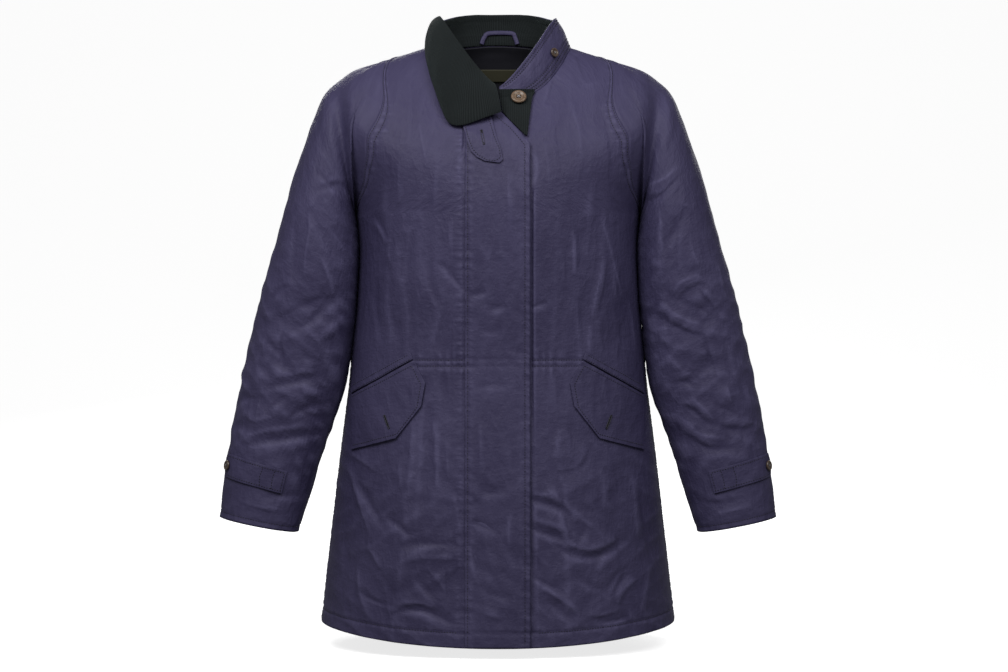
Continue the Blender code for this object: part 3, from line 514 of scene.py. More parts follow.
@dataclass(frozen=True)
class CoatForm:
    """The smooth form of the body, the collar and the sleeves."""

    underarm: float = 4.0
    hem: float = 9.0
    seam_spread: float = 0.75
    run_on: float = 0.09
    run_down: float = 0.16
    shoulder_turns: tuple[float, float] = (0.42, 0.58)
    underarm_fade: float = 0.3
    underarm_blend: float = 0.4
    halvings: int = 30

    def ring_at(self, rings: Sequence[Ring], level: Any) -> Ring:
        """The ring at any level: each size is a smooth curve down the rings."""
        table = np.array(rings)
        return Ring(*np.moveaxis(hermite(np.arange(len(table)), table, level), -1, 0))

    def ring_point(self, rings: Sequence[Ring], angle: Any, level: Any) -> Array:
        """A point of a loft: a squared ellipse in plan that falls from its side to its front and back.

        Args:
            rings: The loft's rings.
            angle: Radians from centre front round the wearer's left to centre back.
            level: Levels down the rings.

        Returns:
            Points in metres.
        """
        ring = self.ring_at(rings, level)
        across = np.abs(np.sin(angle)) ** (2 / ring.square)
        along = np.abs(np.cos(angle)) ** (2 / ring.square)
        ahead = np.cos(angle) > 0
        x = ring.half_width * across * np.sign(np.sin(angle))
        y = np.where(ahead, -ring.front * along, ring.back * along)
        front_height = ring.front_z + (ring.side_z - ring.front_z) * across ** ring.dip
        back_height = ring.back_z + (ring.side_z - ring.back_z) * across ** ring.back_dip
        return np.stack(np.broadcast_arrays(x, y, np.where(ahead, front_height, back_height)), -1)

    def loft(self, rings: Sequence[Ring], angle: Array, level: Array) -> Pair:
        """Points of a loft and their outward normals, from two small steps along the surface.

        Args:
            rings: The loft's rings.
            angle: Radians from centre front.
            level: Levels down the rings.

        Returns:
            The points and the normals.
        """
        step = 1e-4
        angle, level = np.broadcast_arrays(angle, level)
        low = np.clip(level, step, len(rings) - 1 - step)
        side = self.ring_point(rings, angle + step, low) - self.ring_point(rings, angle - step, low)
        down = self.ring_point(rings, angle, low + step) - self.ring_point(rings, angle, low - step)
        return self.ring_point(rings, angle, level), unit(np.cross(down, side))

    def seam_angle(self, level: Any, column: int) -> Array:
        """The raglan seam's angle; column 1 is the front seam and 2 the back, and below both is the side."""
        angle = np.radians(hermite(*np.array(RAGLAN_SEAM).T[[0, column]], level))
        return np.where(np.asarray(level) < self.underarm, angle, np.pi / 2)

    def front_place(self, x: Array, z: Array) -> Pair:
        """Angle and level of the fronts' point that is seen at x and z from the front, found by halving.

        Args:
            x: Metres to the left.
            z: Metres up.

        Returns:
            The angles and the levels.
        """
        low = np.zeros(np.broadcast(x, z).shape)
        high = np.full_like(low, self.hem)
        level = low
        for _ in range(self.halvings):
            level = (low + high) / 2
            ring = self.ring_at(BODY_RINGS, level)
            across = np.clip(np.abs(x) / ring.half_width, 0, 1)
            too_high = ring.front_z + (ring.side_z - ring.front_z) * across ** ring.dip > z
            low = np.where(too_high, level, low)
            high = np.where(too_high, high, level)
        ring = self.ring_at(BODY_RINGS, level)
        across = np.clip(np.abs(x) / ring.half_width, 0, 0.9999)
        return np.arcsin(across ** (ring.square / 2)) * np.sign(x), level

    def sleeve_frame(self, seam_rows: int, neck_columns: int) -> Pair:
        """All rings of the left sleeve at the same turns round the arm.

        Args:
            seam_rows: Points down each raglan seam.
            neck_columns: Points along the neck between the two seams.

        Returns:
            The rings, and each column's turn from 0 at the underarm over the front to 1.
        """
        levels = np.linspace(0, self.underarm, seam_rows)
        front = np.stack([self.seam_angle(levels[::-1], 1), levels[::-1]], -1)
        back = np.stack([self.seam_angle(levels, 2), levels], -1)
        front[0, 0] = back[-1, 0] = np.pi / 2
        between = np.linspace(front[-1, 0], back[0, 0], neck_columns + 2)[1:-1]
        neck = np.stack([between, np.zeros(neck_columns)], -1)
        seam = np.concatenate([front, neck, back[:-1]])
        loop = self.ring_point(BODY_RINGS, seam[:, 0], seam[:, 1])
        length = run_lengths(np.concatenate([loop, loop[:1]]))
        top = seam_rows + (neck_columns - 1) // 2
        turn = np.interp(length[:-1], [0, length[top], length[-1]], [0, 0.5, 1])
        share = (1 - np.abs(1 - 2 * turn)) ** self.seam_spread
        turn = np.where(turn <= 0.5, share / 2, 1 - share / 2)
        swing = np.interp(turn, self.shoulder_turns, (0, np.pi))
        fade = np.clip(share / self.underarm_fade, 0, 1)
        run_on = self.ring_point(BODY_RINGS, seam[:, 0] + self.run_on * np.cos(swing) * fade,
                                 seam[:, 1] + self.run_down * np.sin(swing) * fade)
        arm = ArmRing(*np.array(ARM_RINGS).T[..., None])
        c, s = np.cos(2 * np.pi * turn), np.sin(2 * np.pi * turn)
        inwards = np.sign(c) * np.abs(c) ** (2 / arm.square)
        ahead = np.sign(s) * np.abs(s) ** (2 / arm.square)
        x = (arm.outer_x + arm.inner_x) / 2 + (arm.inner_x - arm.outer_x) / 2 * inwards
        y = (arm.front_y + arm.back_y) / 2 + (arm.front_y - arm.back_y) / 2 * ahead
        z = (arm.outer_z + arm.inner_z) / 2 + (arm.inner_z - arm.outer_z) / 2 * inwards
        rings = np.stack([x, y, z], -1)
        fade = fade[:, None]
        under = loop * (1 - self.underarm_blend) + rings[0] * self.underarm_blend
        first = run_on * fade + under * (1 - fade)
        return np.concatenate([loop[None], first[None], rings]), turn


# ---- Shader nodes ----
class Value:
    """A shader socket that takes part in expressions; each operator adds a Math node."""

    def __init__(self, tree: bpy.types.NodeTree, socket: bpy.types.NodeSocket) -> None:
        """Keeps the tree that the expression grows in."""
        self.tree = tree
        self.socket = socket

    def math(self, operation: str, *terms: Value | float) -> Value:
        """Adds one Math node.

        Args:
            operation: The node's operation.
            terms: Its inputs, links or numbers.

        Returns:
            The node's result.
        """
        node = self.tree.nodes.new("ShaderNodeMath")
        node.operation = operation
        for socket, term in zip(node.inputs, terms):
            if isinstance(term, Value):
                self.tree.links.new(term.socket, socket)
            else:
                socket.default_value = term
        return Value(self.tree, node.outputs[0])

    def __add__(self, other: Value | float) -> Value:
        """Their sum."""
        return self.math("ADD", self, other)

    __radd__ = __add__

    def __sub__(self, other: Value | float) -> Value:
        """Their difference."""
        return self.math("SUBTRACT", self, other)

    def __rsub__(self, other: Value | float) -> Value:
        """The difference the other way round."""
        return self.math("SUBTRACT", other, self)

    def __mul__(self, other: Value | float) -> Value:
        """Their product."""
        return self.math("MULTIPLY", self, other)

    __rmul__ = __mul__

    def __pow__(self, other: float) -> Value:
        """A power of it."""
        return self.math("POWER", self, other)

    def __abs__(self) -> Value:
        """Its size without its sign."""
        return self.math("ABSOLUTE", self)

    def sine(self) -> Value:
        """The sine of it."""
        return self.math("SINE", self)

    def clamped(self) -> Value:
        """It, kept from 0 to 1."""
        return self.math("MINIMUM", self.math("MAXIMUM", self, 0.0), 1.0)


Colour = tuple[float, float, float]


class Painter:
    """Builds the nodes of one material round its Principled shader."""

    def __init__(self, name: str) -> None:
        """Makes the material.

        Args:
            name: Its name.
        """
        self.material = bpy.data.materials.new(name)
        self.material.use_nodes = True
        self.tree = self.material.node_tree
        self.shader = self.tree.nodes["Principled BSDF"]

    def node(self, kind: str, settings: dict[str, Any], inputs: dict[str | int, Any],
             output: str | int = 0) -> Value:
        """Adds one node.

        Args:
            kind: The node's type.
            settings: Its settings, set first.
            inputs: The values or links of its sockets.
            output: Which of its results is wanted.

        Returns:
            That result.
        """
        node = self.tree.nodes.new(kind)
        for name, setting in settings.items():
            setattr(node, name, setting)
        for key, given in inputs.items():
            self.feed(node.inputs[key], given)
        return Value(self.tree, node.outputs[output])

    def feed(self, socket: bpy.types.NodeSocket, given: Any) -> None:
        """Links a socket or sets its value.

        Args:
            socket: The socket.
            given: A link, a colour or a number.
        """
        if isinstance(given, Value):
            self.tree.links.new(given.socket, socket)
        elif isinstance(given, tuple) and len(given) == 3 and socket.type == "RGBA":
            socket.default_value = (*given, 1.0)
        else:
            socket.default_value = given

    def set(self, **sockets: Any) -> None:
        """Feeds the shader's own sockets, named with underscores for spaces."""
        for name, given in sockets.items():
            self.feed(self.shader.inputs[name.replace("_", " ").title().replace("Ior", "IOR")], given)

    def coordinates(self, kind: str = "UV") -> Value:
        """The piece's UV map in metres, or its Object coordinates."""
        return self.node("ShaderNodeTexCoord", {}, {}, kind)

    def stretched(self, place: Value, scale: tuple[float, float, float], turn: float = 0.0) -> Value:
        """Coordinates scaled, and turned about their third axis."""
        return self.node("ShaderNodeMapping", {},
                         {"Vector": place, "Scale": scale, "Rotation": (0.0, 0.0, turn)})

    def noise(self, place: Value, scale: float, detail: float = 3.0, rough: float = 0.5) -> Value:
        """Soft noise from 0 to 1."""
        return self.node("ShaderNodeTexNoise", {}, {"Vector": place, "Scale": scale, "Detail": detail,
                                                    "Roughness": rough})

    def attribute(self, name: str) -> Value:
        """A number that the mesh carries at each point."""
        return self.node("ShaderNodeAttribute", {"attribute_name": name}, {}, "Fac")

    def mix(self, share: Value | float, low: Value | Colour, high: Value | Colour) -> Value:
        """A colour between two."""
        return self.node("ShaderNodeMix", {"data_type": "RGBA"}, {0: share, 6: low, 7: high}, 2)

    def parts(self, place: Value) -> tuple[Value, Value]:
        """The first two numbers of a vector."""
        first = self.node("ShaderNodeSeparateXYZ", {}, {0: place})
        return first, Value(self.tree, first.socket.node.outputs[1])

    def bump(self, height: Value, distance: float, before: Value | None = None) -> Value:
        """A bump from a height from 0 to 1 that stands for a distance in metres."""
        under = {} if before is None else {"Normal": before}
        return self.node("ShaderNodeBump", {},
                         {"Height": height, "Distance": distance, "Strength": 1.0, **under})


# ---- Finishes ----
@dataclass(frozen=True)
class WaxedCotton:
    """Navy waxed cotton: soft wax sheen, crease crests lightened by rubbed wax and by a painted highlight,
    fine crinkles and a plain weave.
    """

    name: str = "waxed_cotton_navy"
    deep: Colour = (0.032, 0.027, 0.068)
    body: Colour = (0.053, 0.046, 0.106)
    # The colour of the crease crests: rubbed wax, and a painted highlight where light would catch them
    rubbed: Colour = (0.094, 0.085, 0.17)
    roughness: float = 0.58
    weave: float = 0.0007
    crinkle: float = 0.0011
    gloss: float = 0.22

    def make(self) -> Finish:
        """The finish as a material.

        Returns:
            The material.
        """
        paint = Painter(self.name)
        place = paint.coordinates()
        u, v = paint.parts(place)
        clouds = paint.noise(place, 7.0, 2.0)
        tall = paint.noise(paint.stretched(place, (1.0, 0.45, 1.0), 0.12), 46.0, 4.0, 0.55)
        cross = paint.noise(paint.stretched(place, (0.55, 1.0, 1.0), -0.5), 70.0, 3.0, 0.6)
        fold = abs(tall - 0.5) * 2.0
        small = abs(cross - 0.5) * 2.0
        weave = (u * (6.2832 / self.weave)).sine() * (v * (6.2832 / self.weave)).sine() * 0.5 + 0.5
        rub = paint.attribute("rub")
        # Crease crests turn towards the lighter colour: rubbed wax, and a painted highlight
        wear_and_highlight = (rub * 0.6 + (0.42 - fold) * 0.45 + (clouds - 0.5) * 0.5).clamped()
        base = paint.mix((clouds * 0.8 + fold * 0.5).clamped(), self.deep, self.body)
        base = paint.mix(wear_and_highlight, base, self.rubbed)
        bend = paint.bump((1.0 - fold) ** 2.0, self.crinkle)
        bend = paint.bump((1.0 - small) ** 2.0, self.crinkle * 0.4, bend)
        bend = paint.bump(weave, 0.00004, bend)
        rough = clouds * 0.16 + (self.roughness - 0.08) + fold * 0.06
        paint.set(base_color=base, roughness=rough, normal=bend, specular_ior_level=self.gloss)
        return paint.material


@dataclass(frozen=True)
class Corduroy:
    """Fine needlecord: upright wales with a soft nap that catches the light, and painted shade in the grooves
    between them.
    """

    name: str = "corduroy_green"
    # The grooves' colour is painted shade between the wales
    groove: Colour = (0.0035, 0.005, 0.0055)
    nap: Colour = (0.014, 0.018, 0.019)
    wale: float = 0.0026

    def make(self) -> Finish:
        """The finish as a material.

        Returns:
            The material.
        """
        paint = Painter(self.name)
        place = paint.coordinates()
        u, _ = paint.parts(place)
        ruffle = paint.noise(place, 420.0, 2.0)
        patches = paint.noise(place, 26.0, 3.0)
        rib = abs((u * (3.1416 / self.wale) + ruffle * 0.5).sine())
        # Painted shade: the colour darkens into the grooves where the wales' bump sinks
        base = paint.mix((rib * 0.55 + patches * 0.7 - 0.1).clamped(), self.groove, self.nap)
        bend = paint.bump(rib, 0.0006)
        bend = paint.bump(ruffle, 0.0003, bend)
        paint.set(base_color=base, roughness=patches * 0.1 + 0.85, normal=bend, sheen_weight=0.1,
                  sheen_roughness=0.4, sheen_tint=(0.35, 0.45, 0.45), specular_ior_level=0.2)
        return paint.material


@dataclass(frozen=True)
class PlainCloth:
    """A plain woven cloth, for the lining, the label and the threads."""

    name: str
    dark: Colour
    light: Colour
    roughness: float = 0.7
    weave: float = 0.0008
    laid: str = "UV"

    def make(self) -> Finish:
        """The finish as a material.

        Returns:
            The material.
        """
        paint = Painter(self.name)
        place = paint.coordinates(self.laid)
        u, v = paint.parts(place)
        clouds = paint.noise(place, 30.0, 3.0)
        weave = (u * (6.2832 / self.weave)).sine() * (v * (6.2832 / self.weave)).sine() * 0.5 + 0.5
        base = paint.mix((clouds * 0.7 + weave * 0.3).clamped(), self.dark, self.light)
        paint.set(base_color=base, roughness=clouds * 0.1 + (self.roughness - 0.05),
                  normal=paint.bump(weave, 0.00005))
        return paint.material


@dataclass(frozen=True)
class Horn:
    """Polished horn with streaks, a dark dish of its own colour, and painted shade in its holes, on its
    dish's wall and round its rim.
    """

    name: str
    dark: Colour
    light: Colour
    roughness: float = 0.28

    def make(self) -> Finish:
        """The finish as a material.

        Returns:
            The material.
        """
        paint = Painter(self.name)
        place = paint.coordinates("Object")
        streak = paint.noise(paint.stretched(place, (1.0, 3.0, 0.4)), 260.0, 4.0, 0.6)
        shade = paint.attribute("shade")
        base = paint.mix((streak * 1.1 - 0.1).clamped(), self.dark, self.light)
        # The dark dish is the horn's own colour; the holes, the dish's wall and the rim get painted shade
        base = paint.mix((shade * 0.85).clamped(), base, (0.012, 0.008, 0.006))
        paint.set(base_color=base, roughness=streak * 0.15 + (self.roughness - 0.05),
                  normal=paint.bump(streak, 0.00006), coat_weight=0.25, coat_roughness=0.2)
        return paint.material


# ---- Meshes ----
class Slot(Enum):
    """The record's material slots."""

    WAXED = "waxed_cotton"
    CORDUROY = "corduroy"
    LINING = "lining"
    LABEL = "label"
    HORN = "horn_button"
    BROWN = "brown_button"


class Side(Enum):
    """The wearer's two sides, as the sign of X."""

    RIGHT = -1
    LEFT = 1


@dataclass
class Wardrobe:
    """Makes objects from grids and keeps the finishes."""

    finishes: dict[Slot, Finish] = field(default_factory=dict)
    thread: Finish | None = None
    slit: Finish | None = None
    pale: Finish | None = None

    def dress(self) -> None:
        """Makes every finish once."""
        self.finishes = {
            Slot.WAXED: WaxedCotton().make(),
            Slot.CORDUROY: Corduroy().make(),
            Slot.LINING: PlainCloth("lining_dark", (0.002, 0.002, 0.005), (0.009, 0.009, 0.018)).make(),
            Slot.LABEL: PlainCloth("label_olive", (0.03, 0.028, 0.015), (0.058, 0.055, 0.03)).make(),
            Slot.HORN: Horn("horn_tan", (0.07, 0.042, 0.024), (0.26, 0.175, 0.115)).make(),
            Slot.BROWN: Horn("horn_brown", (0.03, 0.019, 0.014), (0.15, 0.1, 0.068)).make(),
        }
        # The slit's near-black cloth is painted shade in the buttonholes' openings
        self.thread, self.pale, self.slit = (PlainCloth(*given, laid="Object").make() for given in (
            ("thread_navy", (0.01, 0.009, 0.018), (0.02, 0.018, 0.034), 0.6),
            ("thread_grey", (0.16, 0.15, 0.16), (0.34, 0.33, 0.34), 0.6),
            ("slit_painted_shade", (0.002, 0.002, 0.003), (0.005, 0.005, 0.008), 0.9)))

    def grid(self, name: str, points: Array, slot: Slot, node: str, uv: Array, wall: float = 0.0,
             closed: bool = False, rub: Array | None = None, rim: float = 0.0) -> Piece:
        """A piece from a grid of outer points.

        Args:
            name: The piece's name.
            points: Rows by columns of points; down crossed with across points outwards.
            slot: The record's slot that its finish comes from.
            node: The solid that it stands for.
            uv: The same grid in metres of cloth.
            wall: The cloth's thickness, laid on the inner side.
            closed: Whether the last column meets the first.
            rub: How far each point is lightened, as rubbed wax and as a painted highlight, from 0 to 1.
            rim: How far the rim is rounded.

        Returns:
            The object.
        """
        rows, columns = points.shape[:2]
        quads = weave_quads(rows, columns, closed)
        obj = placed(name, points, quads, self.finishes[slot])
        mesh = obj.data
        flat = uv.reshape(-1, 2)[quads.ravel()].copy()
        if closed:
            flat = flat.reshape(-1, 4, 2)
            wide = np.ptp(flat[..., 0], axis=1) > (uv[..., 0].max() - uv[..., 0].min()) / 2
            turn = uv[..., 0].max() + (uv[0, -1, 0] - uv[0, -2, 0])
            low = flat[..., 0] < turn / 2
            flat[..., 0] += np.where(wide[:, None] & low, turn, 0)
        mesh.uv_layers.new(name="cloth").data.foreach_set("uv", flat.ravel().astype(np.float32))
        # Each point's lightening of the crease crests: rubbed wax, and a painted highlight
        values = np.zeros(rows * columns) if rub is None else rub.ravel()
        mesh.attributes.new("rub", "FLOAT", "POINT").data.foreach_set("value", values.astype(np.float32))
        if wall > 0:
            solid = obj.modifiers.new("Wall", "SOLIDIFY")
            solid.thickness = wall
            solid.offset = -1
        if rim > 0:
            edge = obj.modifiers.new("Rim", "BEVEL")
            edge.width = rim
            edge.segments = 2
            edge.limit_method = "ANGLE"
            edge.angle_limit = 0.9
        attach(obj, BODY_NAME)
        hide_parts(node)
        return obj


def rubbed(height: Array, gain: float) -> Array:
    """How far crease crests are lightened, as rubbed wax and as a painted highlight: where the cloth stands
    above its own smoothed height.

    Args:
        height: The cloth's height on its grid.
        gain: Lightening for each metre above the smoothed height.

    Returns:
        Values from 0 to 1.
    """
    smooth = height.copy()
    for _ in range(5):
        padded = np.pad(smooth, 1, mode="edge")
        smooth = (padded[:-2, 1:-1] + padded[2:, 1:-1] + padded[1:-1, :-2] + padded[1:-1, 2:]) / 4
    return np.clip((height - smooth) * gain, 0, 1)


# ---- The coat's relief ----
@dataclass(frozen=True)
class Relief:
    """How far the creased cloth stands off the smooth form of the body and the sleeves."""

    form: CoatForm = CoatForm()
    welt: float = 0.0009          # height of the seam welts
    welt_width: float = 0.0095
    hem_depth: float = 0.022      # from the hem's edge to its stitching
    groove: float = 0.001         # depth of a line of stitching
    groove_width: float = 0.0023
    waist_z: tuple[float, float] = (-0.45, -0.4585)
    gather: float = 0.00035       # height of the puckers beside a line of stitching
    worn_all: float = 0.00025     # height of the facets all over, and what the skirt and waist add
    worn_skirt: float = 0.00075
    worn_waist: float = 0.00035
    fly_sink: float = 0.0032      # how deep the cloth sinks at the storm fly's free edge
    under_arm: float = 0.0022     # how far it stands out below the arms
    waves: tuple[float, float] = (0.004, 0.0006)  # how far creases wander, and height of the waist's ripple
    arm_girth: float = 0.42
    arm_length: float = 0.66
    arm_hem: float = 0.0085       # from the cuff's edge to its stitching
    level_height: float = 0.1115  # metres of one level near the hem

    def radius(self, level: Array) -> Array:
        """About how far the raglan and side seams are from the body's axis."""
        return np.where(level < self.form.underarm, 0.16, 0.21)

    def line(self, distance: Array) -> Array:
        """The groove that a line of stitching draws into the cloth: a narrow bell."""
        return -self.groove * np.exp(-(distance / self.groove_width) ** 2)

    def pucker(self, distance: Array, along: Array) -> Array:
        """Small gathers beside a line of stitching: uneven waves along it that fade away from it.

        Args:
            distance: Metres from the line.
            along: Metres along it.

        Returns:
            Heights in metres.
        """
        wave = np.sin(along * 690 + 2.6 * np.sin(along * 131))
        wave = wave + 0.6 * np.sin(along * 410 + 1.7 * np.sin(along * 57))
        return self.gather * wave * np.exp(-np.abs(distance / 0.0065) ** 1.5)

    def body(self, angle: Array, level: Array, plain: Array) -> Array:
        """The relief of the body's panels.

        Args:
            angle: Radians from centre front.
            level: Levels down the rings.
            plain: The smooth form's points there.

        Returns:
            Heights in metres.
        """
        x, z = plain[..., 0], plain[..., 2]
        ahead = np.abs(angle) < self.form.seam_angle(level, 1) + 1e-6
        seam = np.where(ahead, self.form.seam_angle(level, 1), self.form.seam_angle(level, 2))
        turned = np.abs(np.where(angle > np.pi, 2 * np.pi - angle, angle))
        from_seam = np.abs(turned - seam) * self.radius(level)
        from_hem = (self.form.hem - level) * self.level_height
        low = ramp(-z, 0.42, 0.66)
        worn = self.worn_all + self.worn_skirt * low + self.worn_waist * np.exp(-((z + 0.4) / 0.09) ** 2)
        sheets = (
            (ahead & (x < 0), FRONT_FOLDS + RIGHT_FRONT_CREASES, x, 11),
            (ahead & (x >= 0), FRONT_FOLDS + LEFT_FRONT_CREASES, x, 12),
            (~ahead, BACK_FOLDS + BACK_CREASES, x, 13),
        )
        wander, rippled = self.waves
        total = np.zeros(x.shape)
        for where, creases, across, seed in sheets:
            if not where.any():
                continue
            a, b = across[where], z[where]
            bent = a + wander * value_noise(a, b, (0.03, 0.05), seed + 90)
            made = crease_heights(creases, bent, b + wander * value_noise(a, b, (0.05, 0.03), seed + 91))
            # Upright facets above the waist; below it, patches that slant one way or the other
            tall = facets(a, b, (0.11, 0.022), 86.0, seed) * (1 - low[where])
            wide = facets(a, b, (0.085, 0.024), 33.0, seed + 40) * low[where]
            cross = facets(a, b, (0.07, 0.022), -38.0, seed + 60) * low[where]
            patch = ramp(value_noise(a, b, (0.06, 0.07), seed + 80), -0.5, 0.5)
            total[where] = made + worn[where] * (tall + wide * patch + cross * (1 - patch))
        ripple = np.exp(-((z - np.mean(self.waist_z)) / 0.016) ** 2)
        ripple = ripple * np.sin(x * 420 + 3 * np.sin(x * 95)) * rippled
        on_waist = np.where(ahead, ramp(0.122 - np.abs(x), 0.0, 0.006), 1.0)
        total += on_waist * ripple
        # The cloth sinks along both edges of the storm fly, most near the neck
        total -= self.fly_sink * np.exp(-((x - 0.0476) / 0.002) ** 2) * ramp(-z, 0.145, 0.17) * ahead
        neckward = 1 + 1.5 * np.exp(-((z + 0.15) / 0.05) ** 2)
        sunk = 0.0012 * neckward * np.exp(-((x + 0.0472) / 0.0022) ** 2)
        total -= sunk * ramp(-z, 0.12, 0.14) * ahead
        # It is full under the arms
        under = np.exp(-((np.abs(np.abs(angle) - np.pi / 2) % (2 * np.pi)) / 0.5) ** 2)
        under += np.exp(-((np.abs(angle - 3 * np.pi / 2)) / 0.5) ** 2)
        fade = ramp(from_seam, 0.0, 0.014) * ramp(level, 0.0, 0.12)
        total = total * fade
        total += self.under_arm * under * ramp(-z, 0.2, 0.26) * (1 - ramp(-z, 0.42, 0.5))
        raised = self.welt * ramp(self.welt_width - from_seam, -0.001, 0.001)
        total += raised * ramp(from_seam, 0, 0.0015)
        total += self.line(from_seam - self.welt_width) + self.line(from_seam - 0.0025) * 0.7
        total += self.pucker(from_seam - self.welt_width, z) * ramp(level, 0.0, 0.12)
        total += self.pucker(x + 0.052, z) * ahead * ramp(-z, 0.12, 0.14)
        total += self.pucker(from_hem - self.hem_depth, x) * 0.7
        total += self.line(from_hem - self.hem_depth) * 1.2
        total += on_waist * (self.line(z - self.waist_z[0]) + self.line(z - self.waist_z[1]))
        return total

    def body_surface(self, angle: Array, level: Array,
                     lift: Array | float = 0.0) -> tuple[Array, Array, Array]:
        """The creased body: its points, moved out by a lift, their normals and their relief.

        Args:
            angle: Radians from centre front.
            level: Levels down the rings.
            lift: Metres outwards.

        Returns:
            The points, the normals and the relief.
        """
        angle, level = np.broadcast_arrays(angle, level)
        plain, normal = self.form.loft(BODY_RINGS, angle, level)
        height = self.body(angle, level, plain)
        return plain + normal * (height + lift)[..., None], normal, height

    def front(self, x: Array, z: Array, lift: Array | float = 0.0) -> Pair:
        """Points over the creased fronts at x and z, moved out by a lift, and their normals.

        Args:
            x: Metres to the left.
            z: Metres up.
            lift: Metres outwards.

        Returns:
            The points and the normals.
        """
        x, z = np.broadcast_arrays(x, z)
        angle, level = self.form.front_place(x, z)
        points, normal, _ = self.body_surface(angle, level, lift)
        points = points.copy()
        points[..., 2] = np.where(level > 1e-6, points[..., 2], z)
        return points, normal

    def sleeve(self, across: Array, down: Array, creases: tuple[Crease, ...], seed: int) -> Array:
        """The relief of a sleeve round the arm and down it, the same on both sides of its underarm line.

        Args:
            across: Metres round the arm from the underarm over the front.
            down: Metres from the raglan seam.
            creases: The sleeve's own creases.
            seed: Which small crumples it has.

        Returns:
            Heights in metres.
        """
        girth = self.arm_girth
        bend = 0.003 * value_noise(across, down, (0.04, 0.04), seed)
        total = sum(crease_heights(creases, across + shift + bend, down) for shift in (0.0, -girth, girth))
        worn = 0.0003 + 0.0006 * ramp(down, 0.27, 0.46) + 0.0004 * np.exp(-((down - 0.36) / 0.05) ** 2)
        worn = worn * (1 - 0.6 * ramp(down, 0.56, 0.6))
        meet = ramp(across, girth * 0.86, girth)
        for cell, lean, number in (((0.085, 0.024), 24.0, 3), ((0.065, 0.022), -28.0, 5)):
            here = facets(across, down, cell, lean, seed + number)
            there = facets(across - girth, down, cell, lean, seed + number)
            total = total + worn * (here * (1 - meet) + there * meet)
        inner = np.exp(-(np.minimum(across, girth - across) / 0.05) ** 2)
        total = total + 0.0012 * inner * ramp(down, 0.0, 0.05) * (1 - ramp(down, 0.2, 0.3))
        total = total * ramp(down, 0.0, 0.014)
        from_hem = self.arm_length - down
        return total + self.line(from_hem - self.arm_hem) * 1.1 + self.line(down - 0.003) * 0.6


def grid_shares(rows: int, columns: int) -> Pair:
    """Shares from 0 to 1 down a grid's rows and across its columns."""
    return np.linspace(0, 1, rows)[:, None], np.linspace(0, 1, columns)[None, :]


# ---- The cloth pieces ----
@dataclass
class BodyPanels:
    """The two fronts and the back."""

    relief: Relief
    wardrobe: Wardrobe
    rows_above: int = 92
    rows_below: int = 232
    back_rows: tuple[int, int] = (84, 190)
    back_columns: int = 136
    fly_angles: tuple[float, ...] = (0.0, 0.17, 0.26)
    fly_counts: tuple[int, ...] = (8, 16)
    side_columns: int = 80
    wall: float = 0.0013

    def levels(self, above: int, below: int) -> Array:
        """Rows from the neck seam to the hem, as one column.

        Args:
            above: Rows above the underarm.
            below: Rows below it.

        Returns:
            The levels, as one column.
        """
        form = self.relief.form
        high = np.linspace(0, form.underarm, above)
        low = np.linspace(form.underarm, form.hem, below)
        return np.concatenate([high, low[1:]])[:, None]

    def front_angles(self, seam: Array) -> Array:
        """Angles of a front's columns: close together at the storm fly's free edge, even beyond it.

        Args:
            seam: The front seam's angle in each row.

        Returns:
            Radians, in rows and columns.
        """
        near = [np.linspace(*self.fly_angles[i:i + 2], count, endpoint=False)
                for i, count in enumerate(self.fly_counts)]
        share = np.linspace(0, 1, self.side_columns)[None, :]
        far = self.fly_angles[-1] + (seam - self.fly_angles[-1]) * share
        near = np.broadcast_to(np.concatenate(near), (len(seam), sum(self.fly_counts)))
        return np.concatenate([near, far], axis=1)

    def add(self, name: str, node: str, angle: Array, level: Array) -> Piece:
        """One panel from its angles and levels.

        Args:
            name: The piece's name.
            node: The solid that it stands for.
            angle: Radians from centre front.
            level: Levels down the rings.

        Returns:
            The piece.
        """
        points, _, height = self.relief.body_surface(angle, level)
        across = np.cumsum(np.linalg.norm(np.diff(points, axis=1, prepend=points[:, :1]), axis=2), axis=1)
        across = across - across[:, across.shape[1] // 2][:, None]
        uv = np.stack([across, np.broadcast_to(points[..., 2].mean(axis=1)[:, None], across.shape)], -1)
        rub = rubbed(height, RUB_AND_LIGHT_GAIN)
        return self.wardrobe.grid(name, points, Slot.WAXED, node, uv, self.wall, rub=rub)

    def build(self) -> list[Piece]:
        """Both fronts and the back.

        Returns:
            The three pieces.
        """
        form = self.relief.form
        level = self.levels(self.rows_above, self.rows_below)
        front = self.front_angles(form.seam_angle(level, 1))
        right = self.add("front_right_cloth", "front_right", -front[:, ::-1], level)
        left = self.add("front_left_cloth", "front_left", front, level)
        level = self.levels(*self.back_rows)
        share = np.linspace(1, -1, self.back_columns)[None, :]
        angle = np.pi - (np.pi - form.seam_angle(level, 2)) * share
        back = self.add("back_cloth", "back", angle, level)
        return [right, left, back]


